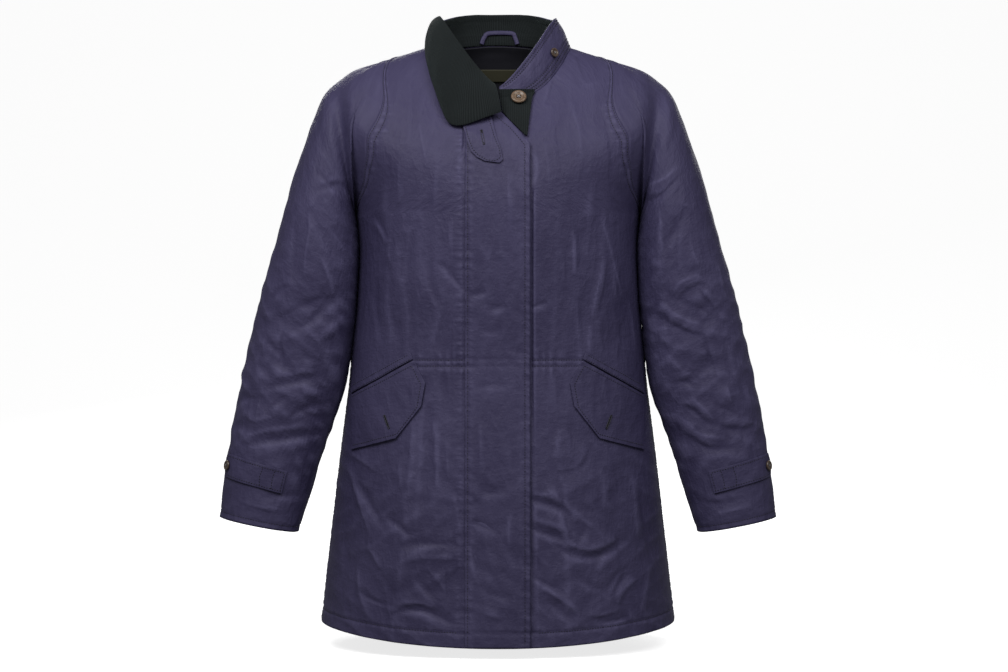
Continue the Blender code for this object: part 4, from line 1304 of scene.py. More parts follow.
@dataclass
class Sleeve:
    """One raglan sleeve, from its seam at the neck to the cuff's hem."""

    relief: Relief
    wardrobe: Wardrobe
    side: Side
    creases: tuple[Crease, ...]
    seed: int
    seam_rows: int = 74
    neck_columns: int = 13
    rows: int = 206
    wall: float = 0.0013
    surface: Array = field(default_factory=lambda: np.zeros(0))
    normals: Array = field(default_factory=lambda: np.zeros(0))
    turns: Array = field(default_factory=lambda: np.zeros(0))

    def build(self) -> Piece:
        """The sleeve's shell, made for the left arm and mirrored for the right.

        Returns:
            The piece.
        """
        relief = self.relief
        rings, self.turns = relief.form.sleeve_frame(self.seam_rows, self.neck_columns)
        steps = np.linalg.norm(np.diff(rings, axis=0), axis=2).mean(axis=1)
        knots = np.concatenate([[0], np.cumsum(steps)]) / steps.sum()
        down = np.linspace(0, 1, self.rows)
        plain = hermite(knots, rings, down)
        normal = grid_normals(plain, closed=True)
        across = self.turns[None, :] * relief.arm_girth + np.zeros_like(down)[:, None]
        along = down[:, None] * relief.arm_length + np.zeros_like(across)
        folds = crease_heights(ARM_FOLDS, across, along)
        height = relief.sleeve(across, along, self.creases, self.seed) + folds * ramp(along, 0.0, 0.02)
        self.surface = plain + normal * height[..., None]
        self.normals = grid_normals(self.surface, closed=True)
        points, uv = self.surface, np.stack([across, along], -1)
        rub = rubbed(height, RUB_AND_LIGHT_GAIN)
        if self.side is Side.RIGHT:
            points = (points * np.array([-1.0, 1.0, 1.0]))[:, ::-1]
            uv, rub = uv[:, ::-1] * np.array([-1.0, 1.0]), rub[:, ::-1]
            uv = uv - uv[:, :1] * np.array([1.0, 0.0])
        name = "sleeve_" + self.side.name.lower()
        piece = self.wardrobe.grid(name + "_cloth", points, Slot.WAXED, name, uv, self.wall,
                                   closed=True, rub=rub)
        return piece

    def at(self, turn: Array, row: Array, lift: Array | float = 0.0) -> Pair:
        """Points over the creased sleeve at turns and rows, moved out by a lift, and their normals.

        Args:
            turn: Shares of the way round the arm.
            row: Shares of the way down it.
            lift: Metres outwards.

        Returns:
            The points and the normals.
        """
        turn, row = np.broadcast_arrays(turn, row)
        place = np.interp(turn, np.concatenate([self.turns, [1.0]]), np.arange(len(self.turns) + 1))
        down = np.clip(row, 0, 1) * (self.rows - 1)
        i0, j0 = np.clip(down.astype(int), 0, self.rows - 2), place.astype(int)
        fi, fj = (down - i0)[..., None], (place - j0)[..., None]
        count = len(self.turns)
        found = []
        for table in (self.surface, self.normals):
            low = table[i0, j0 % count] * (1 - fj) + table[i0, (j0 + 1) % count] * fj
            high = table[i0 + 1, j0 % count] * (1 - fj) + table[i0 + 1, (j0 + 1) % count] * fj
            found.append(low * (1 - fi) + high * fi)
        points = found[0] + found[1] * (np.zeros(turn.shape) + lift)[..., None]
        if self.side is Side.RIGHT:
            flip = np.array([-1.0, 1.0, 1.0])
            return points * flip, unit(found[1]) * flip
        return points, unit(found[1])


@dataclass
class FrontTrim:
    """What lies on the fronts: the storm fly, the throat tab, the collar's tip and the pockets."""

    relief: Relief
    wardrobe: Wardrobe
    fly_half: float = 0.0453
    fly_foot: float = -0.8462
    fly_top: Corners = ((-0.0453, -0.098), (0.004, -0.103), (0.022, -0.123), (0.0453, -0.15))
    trim: float = 0.0012
    tab_lines: tuple[Corners, ...] = (
        ((-0.052, -0.108), (-0.0486, -0.1245), (-0.0444, -0.1427), (-0.0374, -0.1609), (-0.029, -0.1692),
         (-0.0179, -0.1748), (0.0025, -0.1776)),
        ((-0.014, -0.1), (-0.0081, -0.1162), (-0.0011, -0.1427), (0.0045, -0.1595), (0.0073, -0.1734)))
    tip_lines: tuple[Corners, ...] = (
        ((0.001, -0.069), (0.003, -0.086), (0.0062, -0.103), (0.0171, -0.1169), (0.038, -0.1379)),
        ((0.0525, -0.068), (0.0479, -0.0861), (0.0451, -0.1071), (0.0412, -0.1385)))
    flap_lift: float = 0.0024
    band_lift: float = 0.0016
    flap_lines: tuple[Corners, ...] = (
        ((-0.2085, -0.5015), (-0.206, -0.5779)),
        ((-0.117, -0.4509), (-0.1002, -0.4823), (-0.1058, -0.5144), (-0.1412, -0.5596)))
    band_lines: tuple[Corners, ...] = (
        ((-0.208, -0.487), (-0.2085, -0.499)), ((-0.1215, -0.44), (-0.1175, -0.4488)))

    def ruled(self, lines: Sequence[Line], shares: Pair) -> Pair:
        """Places between a left and a right line, at shares down them and across.

        Args:
            lines: The left and the right line.
            shares: How far down and across.

        Returns:
            Their x and their z.
        """
        down, across = np.broadcast_arrays(*shares)
        left, right = read_line(lines[0], down.ravel()), read_line(lines[1], down.ravel())
        flat = left + (right - left) * across.ravel()[:, None]
        return flat[:, 0].reshape(down.shape), flat[:, 1].reshape(down.shape)

    def fly_lift(self, x: Array) -> Array:
        """How far the fly's face stands off the fronts: sewn down at its left, free at its right."""
        return self.trim + 0.0006 + 0.0022 * ramp(x, -0.04, 0.036)

    def fly_relief(self, x: Array, z: Array) -> Array:
        """The fly's own creases and the grooves of its two lines of stitching.

        Args:
            x: Metres to the left.
            z: Metres up.

        Returns:
            Heights in metres.
        """
        own = crease_heights(FLY_CREASES, x, z) + crumple(x, z, 0.02, 30.0, 71) * 0.0003
        own = own + self.relief.pucker(x + 0.0415, z) + self.relief.pucker(x - 0.04, z + 0.5)
        return own + self.relief.line(x + 0.0415) + self.relief.line(x - 0.0375) * 0.8

    def fly(self) -> Piece:
        """The long storm fly.

        Returns:
            The piece.
        """
        across = np.linspace(-self.fly_half, self.fly_half, 34)
        top = np.interp(across, *np.array(self.fly_top).T)
        down = np.linspace(0, 1, 250)[:, None]
        z = top + (self.fly_foot - top) * down
        x = np.broadcast_to(across, z.shape)
        own = self.fly_relief(x, z)
        points, _ = self.relief.front(x, z, self.fly_lift(x) + own)
        uv = np.stack([x, z], -1)
        piece = self.wardrobe.grid("storm_fly_cloth", points, Slot.WAXED, "storm_fly", uv, self.trim,
                                   rub=rubbed(own, RUB_AND_LIGHT_GAIN))
        return piece

    def tab_lift(self, x: Array, z: Array) -> Array:
        """How far the throat tab's face stands off the fronts."""
        wave = 0.0006 * np.sin(z * 150 + x * 60) + 0.0003 * crumple(x, z, 0.012, 10.0, 5)
        return self.fly_lift(x) + self.trim + 0.0019 + wave

    def tab(self) -> Piece:
        """The pointed throat tab.

        Returns:
            The piece.
        """
        x, z = self.ruled(self.tab_lines, grid_shares(44, 26))
        lift = self.tab_lift(x, z)
        wave = lift - lift.mean()
        points, _ = self.relief.front(x, z, lift)
        piece = self.wardrobe.grid("throat_tab_cloth", points, Slot.WAXED, "throat_tab", np.stack([x, z], -1),
                                   self.trim, rub=rubbed(wave, TRIM_GAIN), rim=0.0004)
        return piece

    def tip(self) -> Piece:
        """The corduroy tip of the collar below its standing side.

        Returns:
            The piece.
        """
        x, z = self.ruled(self.tip_lines, grid_shares(40, 30))
        down, across = grid_shares(40, 30)
        swell = 0.0012 * np.sin(np.pi * down) * np.sin(np.pi * across)
        points, _ = self.relief.front(x, z, 0.0036 + 0.001 + swell)
        piece = self.wardrobe.grid("collar_tip_cord", points, Slot.CORDUROY, "collar_tip",
                                   np.stack([x, z], -1), 0.0022, rim=0.0008)
        return piece

    def pocket_face(self, side: Side, lines: Sequence[Line], lift: float,
                    shares: Pair, more: float = 0.0) -> tuple[Array, Array, Array, Array]:
        """A place on a flap or band.

        Args:
            side: Which pocket.
            lines: The piece's outer and its free side line.
            lift: How far its face stands off the front at its foot.
            shares: How far down and across.
            more: What lies on it stands this much further out.

        Returns:
            Points, normals, x and z flattened as uv, and the piece's own relief.
        """
        x, z = self.ruled(lines, shares)
        x = -x if side is Side.LEFT else x
        own = 0.0005 * crumple(x, z, 0.017, 20.0, 51 + side.value) + 0.0006 * np.sin(x * 70 + z * 45)
        points, normal = self.relief.front(x, z, self.trim + lift * (0.6 + 0.4 * shares[0]) + own + more)
        return points, normal, np.stack([x, z], -1), own

    def pocket(self, side: Side) -> list[Piece]:
        """A pocket's flap and its stitched band.

        Args:
            side: Which pocket.

        Returns:
            The two pieces.
        """
        made = []
        name = side.name.lower()
        for part, lines, shape, lift, flat, area in (
                ("pocket_flap_", self.flap_lines, (56, 60), self.flap_lift, (0.112, 0.128), 0.0103),
                ("pocket_band_", self.band_lines, (8, 60), self.band_lift, (0.012, 0.130), 0.00150)):
            down, across = grid_shares(*shape)
            if side is Side.LEFT:
                across = across[:, ::-1]
            points, _, uv, own = self.pocket_face(side, lines, lift, (down, across))
            piece = self.wardrobe.grid(part + name + "_cloth", points, Slot.WAXED, part + name, uv, self.trim,
                                       rub=rubbed(own, TRIM_GAIN), rim=0.0004)
            made.append(piece)
        return made

    def build(self) -> list[Piece]:
        """Every piece on the fronts."""
        return [self.fly(), self.tab(), self.tip(), *self.pocket(Side.RIGHT), *self.pocket(Side.LEFT)]


@dataclass
class Collar:
    """The standing collar, its corduroy facing and the part that is turned down."""

    relief: Relief
    wardrobe: Wardrobe
    opening: float = 0.012
    tuck: float = 0.001
    rows: tuple[float, ...] = (0.004, 0.009, 0.014, 0.0405, 0.0445)
    girth: float = 0.092
    ring_drop: float = 0.024
    fall_deg: tuple[float, float] = (-100.0, -2.0)
    fall_crown: float = 0.0065
    fall_edge: tuple[tuple[float, float, float], ...] = (
        (-0.085, 0.022, 0.04), (-0.098, 0.004, 0.019), (-0.1045, -0.028, -0.006),
        (-0.0985, -0.072, -0.039), (-0.089, -0.1, -0.07), (-0.08, -0.115, -0.096),
        (-0.069, -0.124, -0.118), (-0.05, -0.129, -0.1225), (-0.015, -0.129, -0.111),
        (0.005, -0.126, -0.1036))

    def stand(self) -> list[Piece]:
        """The navy outside of the collar and its corduroy inside.

        Returns:
            The two pieces.
        """
        angle = np.linspace(self.opening, 2 * np.pi - self.opening, 240)[None, :]
        level = np.linspace(2, 0, 34)[:, None]
        plain, normal = self.relief.form.loft(COLLAR_RINGS, angle, level)
        normal = -normal
        across = angle * self.girth + np.zeros(level.shape)
        down = -level * self.ring_drop + np.zeros(angle.shape)
        height = crumple(across, down, 0.016, 75.0, 31) * 0.0004
        height += 0.0012 * value_noise(across, down, (0.035, 0.05), 32)
        for at in self.rows:
            height += self.relief.line(down + at) * 0.6
        outside = plain + normal * height[..., None]
        outside[..., 2] -= self.tuck * np.exp(-(level / 0.12) ** 2)
        uv = np.stack([across, down], -1)
        navy = self.wardrobe.grid("collar_stand_cloth", outside, Slot.WAXED, "collar_stand", uv, 0.0013,
                                  rub=rubbed(height, RUB_AND_LIGHT_GAIN))
        inside = outside - normal * 0.0019
        cord = self.wardrobe.grid("collar_facing_cord", inside, Slot.CORDUROY, "collar_facing", uv, 0.0018)
        return [navy, cord]

    def fall(self) -> Piece:
        """The turned-down part: a ruled sheet from the roll to its edge, raised by a crown between them.

        Returns:
            The piece.
        """
        columns, rows = 110, 62
        angle = np.radians(np.linspace(*self.fall_deg, columns))
        out = np.stack([np.sin(angle), -np.cos(angle), np.zeros(columns)], -1)
        roll = self.relief.form.ring_point(COLLAR_RINGS, angle, 2.0) + out * 0.0004
        roll[:, 2] += 0.003
        edge = hermite(np.linspace(0, 1, len(self.fall_edge)), self.fall_edge, np.linspace(0, 1, columns))
        across = np.linspace(0, 1, rows)[:, None, None]
        crown = out * self.fall_crown
        crown[:, 2] = self.fall_crown * 0.9
        points = roll * (1 - across) + edge * across + crown * (4 * across * (1 - across)) ** 0.8
        along = np.linspace(0, 0.215, columns)[None, :] + np.zeros((rows, 1))
        down = across[..., 0] * 0.078 + np.zeros((1, columns))
        wave = 0.0011 * value_noise(along, down, (0.045, 0.03), 61) * ramp(across[..., 0], 0.0, 0.3)
        normal = grid_normals(points)
        points = points + normal * wave[..., None]
        piece = self.wardrobe.grid("collar_fall_cord", points, Slot.CORDUROY, "collar_fall",
                                   np.stack([along, down], -1), 0.0026, rim=0.0011)
        return piece

    def build(self) -> list[Piece]:
        """Every piece of the collar."""
        return [*self.stand(), self.fall()]


@dataclass
class Inside:
    """What shows inside the neck: the lining, the plain label and the hanger loop."""

    relief: Relief
    wardrobe: Wardrobe
    wall: float = 0.001
    loop_path: Corners = (
        (166.6, 0.04), (168.0, 0.44), (170.5, 0.7), (185.9, 0.7), (189.6, 0.44), (191.3, 0.04))
    loop_half: float = 0.0028

    def patch(self, name: str, node: str, degrees: tuple[float, float], levels: tuple[float, float],
              depth: float, slot: Slot, shape: tuple[int, int]) -> Piece:
        """A piece that lies inside the back at a depth below its outer side.

        Args:
            name: The piece's name.
            node: The solid that it stands for.
            degrees: Where it starts and ends round the body.
            levels: Where it starts and ends down the rings.
            depth: Metres inwards.
            slot: Its finish.
            shape: Its rows and columns of points.

        Returns:
            The piece.
        """
        angle = np.radians(np.linspace(*degrees, shape[1]))[None, :]
        level = np.linspace(*levels, shape[0])[:, None]
        plain, normal = self.relief.form.loft(BODY_RINGS, *np.broadcast_arrays(angle, level))
        uv = np.stack(np.broadcast_arrays(angle * 0.11, -level * 0.045), -1)
        wave = 0.0006 * value_noise(uv[..., 0], uv[..., 1], (0.03, 0.02), 77) if slot is Slot.LINING else 0.0
        points = plain - normal * (depth + wave + np.zeros(plain.shape[:2]))[..., None]
        return self.wardrobe.grid(name, points, slot, node, uv, self.wall)

    def build(self) -> list[Piece]:
        """The three pieces.

        Returns:
            The pieces.
        """
        lining = self.patch("back_lining_cloth", "back_lining", (136.0, 224.0), (0.02, 2.0), 0.003,
                            Slot.LINING, (60, 110))
        label = self.patch("neck_label_cloth", "neck_label", (171.6, 188.4), (1.13, 1.46), 0.0048,
                           Slot.LABEL, (16, 40))
        path = hermite(np.linspace(0, 1, 6), self.loop_path, np.linspace(0, 1, 60))
        plain, normal = self.relief.form.loft(COLLAR_RINGS, np.radians(path[:, 0]), path[:, 1])
        middle = plain + normal * 0.0049
        along = unit(np.gradient(middle, axis=0))
        across = np.cross(along, -normal)
        share = np.linspace(-1, 1, 7)[:, None, None]
        crown = (1 - share ** 2) * 0.0009
        strip = middle + across * share * self.loop_half + normal * crown
        length = run_lengths(middle)
        uv = np.stack(np.broadcast_arrays(length[None, :], share[..., 0] * self.loop_half), -1)
        loop = self.wardrobe.grid("hanger_loop_cloth", strip, Slot.WAXED, "hanger_loop", uv, 0.0011)
        return [lining, label, loop]


@dataclass
class Cuffs:
    """The button tabs round the wrists."""

    sleeves: dict[Side, Sleeve]
    wardrobe: Wardrobe
    turns: tuple[float, float] = (0.185, 0.455)
    row: float = 0.895
    half: float = 0.0155
    point: float = 0.02
    trim: float = 0.0012

    def face(self, sleeve: Sleeve, share: Array, along: Array,
             more: float = 0.0) -> tuple[Array, Array, Array]:
        """A place on a tab: from -1 to 1 across it and 0 to 1 along it; points, normals and uv.

        Args:
            sleeve: The sleeve below it.
            share: From -1 to 1 across the tab.
            along: From 0 to 1 along it.
            more: Metres further outwards.

        Returns:
            The points, the normals and the uv.
        """
        turn = self.turns[0] + (self.turns[1] - self.point * np.abs(share) ** 1.3 - self.turns[0]) * along
        turn, row = np.broadcast_arrays(turn, self.row + share * self.half / sleeve.relief.arm_length)
        uv = np.stack([turn * sleeve.relief.arm_girth, row * sleeve.relief.arm_length], -1)
        wave = 0.0005 * value_noise(uv[..., 0], uv[..., 1], (0.02, 0.02), 81)
        points, normals = sleeve.at(turn, row, self.trim + 0.0012 + wave + more)
        return points, normals, uv

    def build(self) -> list[Piece]:
        """Both tabs.

        Returns:
            The two pieces.
        """
        made = []
        for side, sleeve in self.sleeves.items():
            share = np.linspace(-1, 1, 20)[:, None]
            along = np.linspace(0, 1, 90)[None, :]
            points, _, uv = self.face(sleeve, share, along)
            wave = 0.0005 * value_noise(uv[..., 0], uv[..., 1], (0.02, 0.02), 81)
            if side is Side.RIGHT:
                points, uv, wave = points[:, ::-1], uv[:, ::-1], wave[:, ::-1]
            name = "cuff_tab_" + side.name.lower()
            piece = self.wardrobe.grid(name + "_cloth", points, Slot.WAXED, name, uv, self.trim,
                                       rub=rubbed(wave, TRIM_GAIN), rim=0.0004)
            made.append(piece)
        return made


@dataclass
class Buttons:
    """The four buttons: turned discs with a rim, a dish and four holes."""

    relief: Relief
    wardrobe: Wardrobe
    sleeves: dict[Side, Sleeve]

    def button(self, name: str, at: Array, out: Array, radius: float, height: float, slot: Slot) -> Piece:
        """One button from a grid of turns and radii, its face towards out.

        Args:
            name: The piece's name.
            at: The middle of its back.
            out: The way that its face looks.
            radius: Metres.
            height: Metres.
            slot: Its finish.

        Returns:
            The piece.
        """
        profile = np.array([(0.0, 0.72), (0.12, 0.72), (0.26, 0.72), (0.36, 0.72), (0.46, 0.73), (0.56, 0.78),
                            (0.63, 0.9), (0.7, 1.0), (0.8, 1.04), (0.9, 1.0), (0.97, 0.82), (1.0, 0.6),
                            (1.0, 0.35), (0.93, 0.08), (0.8, 0.0)])
        share = np.linspace(0, len(profile) - 1, 46)
        r = np.interp(share, np.arange(len(profile)), profile[:, 0])
        h = np.interp(share, np.arange(len(profile)), profile[:, 1])
        turn = np.linspace(0, 2 * np.pi, 64, endpoint=False)
        px, py = r[:, None] * np.cos(turn), r[:, None] * np.sin(turn)
        holes = sum(np.exp(-(((px - sx * 0.19) ** 2 + (py - sy * 0.19) ** 2) / 0.0075) ** 2)
                    for sx in (-1, 1) for sy in (-1, 1))
        z = h[:, None] - holes * 0.5 * (r[:, None] < 0.6)
        frame = Vector(out).to_track_quat("Z", "Y").to_matrix()
        local = np.stack([px * radius, py * radius, z * height], -1)
        points = local @ np.array(frame).T + at
        uv = np.stack([px * radius, py * radius], -1)
        piece = self.wardrobe.grid(name + "_disc", points, slot, name, uv, closed=True)
        self.sew(name + "_thread", at, np.array(frame), radius, height)
        # A dark dish of the button's own colour, and painted shade in the holes, on the dish's wall and round
        # the rim
        shade = np.clip(holes + 0.55 * (r[:, None] < 0.34) + 0.45 * (np.abs(r[:, None] - 0.62) < 0.035)
                        + 0.5 * (r[:, None] > 0.985), 0, 1)
        values = piece.data.attributes.new("shade", "FLOAT", "POINT")
        values.data.foreach_set("value", shade.ravel().astype(np.float32))
        return piece

    def sew(self, name: str, at: Array, frame: Array, radius: float, height: float) -> None:
        """The crossed threads between the four holes: two bars as half round grids.

        Args:
            name: The piece's name.
            at: The middle of the button's back.
            frame: The button's three axes as columns.
            radius: The button's radius in metres.
            height: The button's height in metres.
        """
        along = np.linspace(-1, 1, 13)[:, None]
        round_ = np.linspace(0, 2 * np.pi, 8, endpoint=False)[None, :]
        grids = []
        for turn in (np.pi / 4, -np.pi / 4):
            width = radius * 0.055
            run = along * radius * 0.27
            up = height * (0.78 + 0.16 * np.sqrt(np.clip(1 - along ** 2, 0, 1)))
            across = width * np.cos(round_)
            x = run * np.cos(turn) - across * np.sin(turn)
            y = run * np.sin(turn) + across * np.cos(turn)
            grids.append(np.stack(np.broadcast_arrays(x, y, up + width * np.sin(round_)), -1))
        quads = weave_quads(13, 8, True)[:, OTHER_WAY]
        points = np.concatenate([grid.reshape(-1, 3) for grid in grids]) @ frame.T + at
        obj = placed(name, points, np.concatenate([quads, quads + 13 * 8]), self.wardrobe.pale)
        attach(obj, BODY_NAME)

    def build(self) -> list[Piece]:
        """Every button.

        Returns:
            The four pieces.
        """
        at, out = self.relief.front(np.array([0.029]), np.array([-0.085]), 0.007)
        made = [self.button("neck_button", at[0], out[0], 0.011, 0.004, Slot.HORN)]
        plain, normal = self.relief.form.loft(COLLAR_RINGS, np.array([0.9]), np.array([0.85]))
        made.append(self.button("collar_button", plain[0] - normal[0] * 0.0016, -normal[0], 0.0068, 0.003,
                                Slot.BROWN))
        for side, sleeve in self.sleeves.items():
            at, out = sleeve.at(np.array([0.415]), np.array([0.895]), 0.003)
            name = "cuff_button_" + side.name.lower()
            made.append(self.button(name, at[0], out[0], 0.0072, 0.003, Slot.BROWN))
        return made


@dataclass
class Stitching:
    """Rows of stitches and bound buttonholes, in the coat's thread."""

    relief: Relief
    wardrobe: Wardrobe
    trim: FrontTrim
    sleeves: dict[Side, Sleeve]
    pitch: float = 0.0038
    length: float = 0.0025
    half: float = 0.00055

    def thread(self, name: str, lines: Sequence[Pair]) -> Piece:
        """One piece of many stitches, each a capsule of ten points, laid along lines over cloth.

        Args:
            name: The piece's name.
            lines: For each line its points and the cloth's normals there.

        Returns:
            The object.
        """
        rims = [(end, side, up) for end in (-0.28, 0.28)
                for side, up in ((0.0, 1.0), (1.0, 0.0), (0.0, -1.0), (-1.0, 0.0))]
        corner = np.array([(-0.5, 0.0, -0.3), *rims, (0.5, 0.0, -0.3)])
        ring = [(0, 2, 1), (0, 3, 2), (0, 4, 3), (0, 1, 4), (9, 5, 6), (9, 6, 7), (9, 7, 8), (9, 8, 5)]
        side = [(1, 2, 6), (1, 6, 5), (2, 3, 7), (2, 7, 6), (3, 4, 8), (3, 8, 7), (4, 1, 5), (4, 5, 8)]
        faces = np.array(ring + side)
        found, index = [], []
        for points, normals in lines:
            run = run_lengths(points)
            middle = np.arange(self.pitch * 0.6, run[-1], self.pitch)
            at, out, fore, aft = (
                np.stack([np.interp(middle + step, run, table[:, axis]) for axis in range(3)], -1)
                for table, step in ((points, 0), (normals, 0), (points, 0.001), (points, -0.001)))
            along = unit(fore - aft)
            across = unit(np.cross(out, along))
            upward = np.cross(along, across)
            section = across[:, None] * corner[None, :, 1:2] + upward[:, None] * corner[None, :, 2:]
            local = along[:, None] * corner[None, :, :1] * self.length + section * self.half
            index.append(faces[None] + 10 * (np.arange(len(at)) + sum(map(len, found)))[:, None, None])
            found.append(at[:, None] + local)
        obj = placed(name, np.concatenate(found), np.concatenate(index).reshape(-1, 3), self.wardrobe.thread)
        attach(obj, BODY_NAME)
        return obj

    def over_body(self, angle: Array, level: Array) -> Pair:
        """A line over the body at angles and levels."""
        points, normals, _ = self.relief.body_surface(angle, level, THREAD_LIFT)
        return points, normals

    def over_fly(self, x: Array, z: Array) -> Pair:
        """A line over the storm fly at x and z."""
        lift = self.trim.fly_lift(x) + self.trim.fly_relief(x, z) + THREAD_LIFT
        return self.relief.front(x, z, lift)

    def seams(self) -> Piece:
        """The double rows beside the raglan and the side seams.

        Returns:
            The piece.
        """
        form = self.relief.form
        level = np.linspace(0.03, form.hem - 0.02, 420)
        radius = self.relief.radius(level)
        lines = []
        for inset in (0.0025, self.relief.welt_width):
            front = form.seam_angle(level, 1) - inset / radius
            back = form.seam_angle(level, 2) + inset / radius
            shown = level < form.underarm
            lines += [self.over_body(front, level), self.over_body(-front, level)]
            back, high = back[shown], level[shown]
            lines += [self.over_body(back, high), self.over_body(2 * np.pi - back, high)]
        return self.thread("seam_stitches", lines)

    def hems(self) -> Piece:
        """The rows above the body's hem, round the cuffs and along the waist's channel.

        Returns:
            The piece.
        """
        relief = self.relief
        form = relief.form
        level = form.hem - relief.hem_depth / relief.level_height
        gap = 0.012
        ahead, behind = (float(form.seam_angle(level, column)) for column in (1, 2))
        lines = []
        for low, high in ((0.17, ahead - gap), (behind + gap, np.pi)):
            angle = np.linspace(low, high, 240)
            lines += [self.over_body(angle, np.full(240, level)), self.over_body(-angle, np.full(240, level))]
        for z in relief.waist_z:
            for low, high in ((0.0475, 0.118), (-0.118, -0.0475)):
                lines.append(relief.front(np.linspace(low, high, 60), np.full(60, z), THREAD_LIFT))
            levels = np.linspace(0, form.hem, 200)
            at = np.interp(-z, -form.ring_point(BODY_RINGS, np.full(200, 3.0), levels)[:, 2], levels)
            behind = float(form.seam_angle(at, 2))
            angle = np.linspace(behind + 0.02, 2 * np.pi - behind - 0.02, 400)
            lines.append(self.over_body(angle, np.full(400, at)))
        for sleeve in self.sleeves.values():
            turn = np.linspace(0, 0.999, 260)
            lines.append(sleeve.at(turn, np.full(260, 1 - relief.arm_hem / relief.arm_length), THREAD_LIFT))
        return self.thread("hem_stitches", lines)

    def trims(self) -> Piece:
        """The rows on the fly, the throat tab and the pockets.

        Returns:
            The piece.
        """
        trim = self.trim
        lines = []
        for x, top in ((-0.0415, -0.105), (0.0375, -0.15)):
            z = np.linspace(top, trim.fly_foot + 0.004, 500)
            lines.append(self.over_fly(np.full(500, x), z))
        slant = polyline([(-0.002, -0.1105), (0.017, -0.128), (0.0375, -0.152)], 0.002)
        lines.append(self.over_fly(slant[:, 0], slant[:, 1]))
        edge = polyline([(0.1, 0.07), (0.9, 0.11), (0.93, 0.45), (0.93, 0.8), (0.8, 0.93), (0.1, 0.9)],
                        0.02)
        x, z = trim.ruled(trim.tab_lines, (edge[:, 0], edge[:, 1]))
        lines.append(self.relief.front(x, z, trim.tab_lift(x, z) + THREAD_LIFT))
        paths = (
            (trim.flap_lines, trim.flap_lift, [(0.04, 0.945), (0.93, 0.945), (0.93, 0.03)]),
            (trim.band_lines, trim.band_lift, [(0.15, 0.03), (0.15, 0.97)]),
            (trim.band_lines, trim.band_lift, [(0.85, 0.03), (0.85, 0.97)]),
            (trim.flap_lines, trim.flap_lift, [(0.045, 0.03), (0.045, 0.93)]),
        )
        for side in Side:
            for border, lift, path in paths:
                shares = polyline(path, 0.01)
                place = (shares[:, 0], shares[:, 1])
                lines.append(trim.pocket_face(side, border, lift, place, THREAD_LIFT)[:2])
        return self.thread("trim_stitches", lines)

    def cuffs(self, cuffs: Cuffs) -> Piece:
        """The rows round the cuff tabs and across their sewn ends.

        Args:
            cuffs: The cuff tabs.

        Returns:
            The piece.
        """
        lines = []
        for sleeve in self.sleeves.values():
            for path in ([(-0.8, 0.03), (-0.8, 0.93), (0.0, 0.972), (0.8, 0.93), (0.8, 0.03)],
                         *([(-0.8, at), (0.8, at)] for at in (0.03, 0.3, 0.16))):
                shares = polyline(path, 0.02)
                lines.append(cuffs.face(sleeve, shares[:, 0], shares[:, 1], THREAD_LIFT)[:2])
        return self.thread("cuff_stitches", lines)

    def collar(self) -> Piece:
        """The rows round the standing collar.

        Returns:
            The piece.
        """
        lines = []
        for down in Collar.rows:
            angle = np.linspace(0.05, 3.9, 400)[None, :]
            level = np.full((1, 400), down / Collar.ring_drop)
            plain, normal = self.relief.form.loft(COLLAR_RINGS, angle, level)
            lines.append((plain[0] + normal[0] * -THREAD_LIFT, -normal[0]))
        return self.thread("collar_stitches", lines)

    def buttonhole(self, name: str, points: Array, normals: Array) -> list[Piece]:
        """A buttonhole between two places: a dark slit of painted shade that stands for the opening, inside a
        rope of close stitches.

        Args:
            name: The piece's name.
            points: The slit's two ends.
            normals: The cloth's normals there.

        Returns:
            The rope and the slit.
        """
        out = unit(normals.mean(axis=0))
        along = unit(points[1] - points[0])
        across = np.cross(out, along)
        span = np.linalg.norm(points[1] - points[0]) / 2
        turn = np.linspace(0, 2 * np.pi, 72, endpoint=False)[None, :]
        tube = np.linspace(0, 2 * np.pi, 8, endpoint=False)[:, None]
        thick = 0.00062 * (1 + 0.22 * np.sign(np.sin(turn * 36)))
        wide = 0.0014 + thick * np.cos(tube)
        reach = np.clip(np.abs(np.cos(turn)) * 2.4, 0, 1) * np.sign(np.cos(turn)) * (span - 0.0012)
        side = wide * np.sin(turn)
        lengthways = reach + wide * np.cos(turn)
        up = thick * np.sin(tube) + 0.0004 * np.ones_like(lengthways)
        middle = points.mean(axis=0)
        rope = middle + lengthways[..., None] * along + side[..., None] * across + up[..., None] * out
        made = []
        for suffix, surface, material, wraps in (("_rope", rope, self.wardrobe.thread, True),
                                                 ("_slit", self.slit(middle, along, across, out, span),
                                                  self.wardrobe.slit, False)):
            rows, columns = surface.shape[:2]
            quads = weave_quads(rows + wraps, columns, True) % (rows * columns)
            obj = placed(name + suffix, surface, quads, material)
            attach(obj, BODY_NAME)
            made.append(obj)
        return made

    def slit(self, middle: Array, along: Array, across: Array, out: Array, span: float) -> Array:
        """A long dark lens of painted shade where the buttonhole opens, as rings from its outline to its
        middle.

        Args:
            middle: Its middle.
            along: Its long axis.
            across: Its short axis.
            out: The way outwards.
            span: Half its length in metres.

        Returns:
            Three rings of points.
        """
        turn = np.linspace(0, 2 * np.pi, 32, endpoint=False)[None, :, None]
        ring = np.array([1.0, 0.6, 0.05])[:, None, None]
        return (middle + along * np.cos(turn) * span * ring + across * np.sin(turn) * 0.0009 * ring
                + out * (0.0003 + 0.0002 * (1 - ring)))

    def buttonholes(self) -> list[Piece]:
        """The buttonholes of the throat tab and of both pocket flaps.

        Returns:
            The ropes and slits of all three.
        """
        trim = self.trim
        made = []
        x, z = np.array([-0.0229, -0.0187]), np.array([-0.1318, -0.1521])
        made += self.buttonhole("tab_buttonhole", *self.relief.front(x, z, trim.tab_lift(x, z)))
        x, z = np.array([-0.1572, -0.1502]), np.array([-0.5282, -0.5463])
        for side in Side:
            lift = trim.trim + 0.0022
            made += self.buttonhole("flap_buttonhole_" + side.name.lower(),
                                    *self.relief.front(x * -side.value, z, lift))
        return made

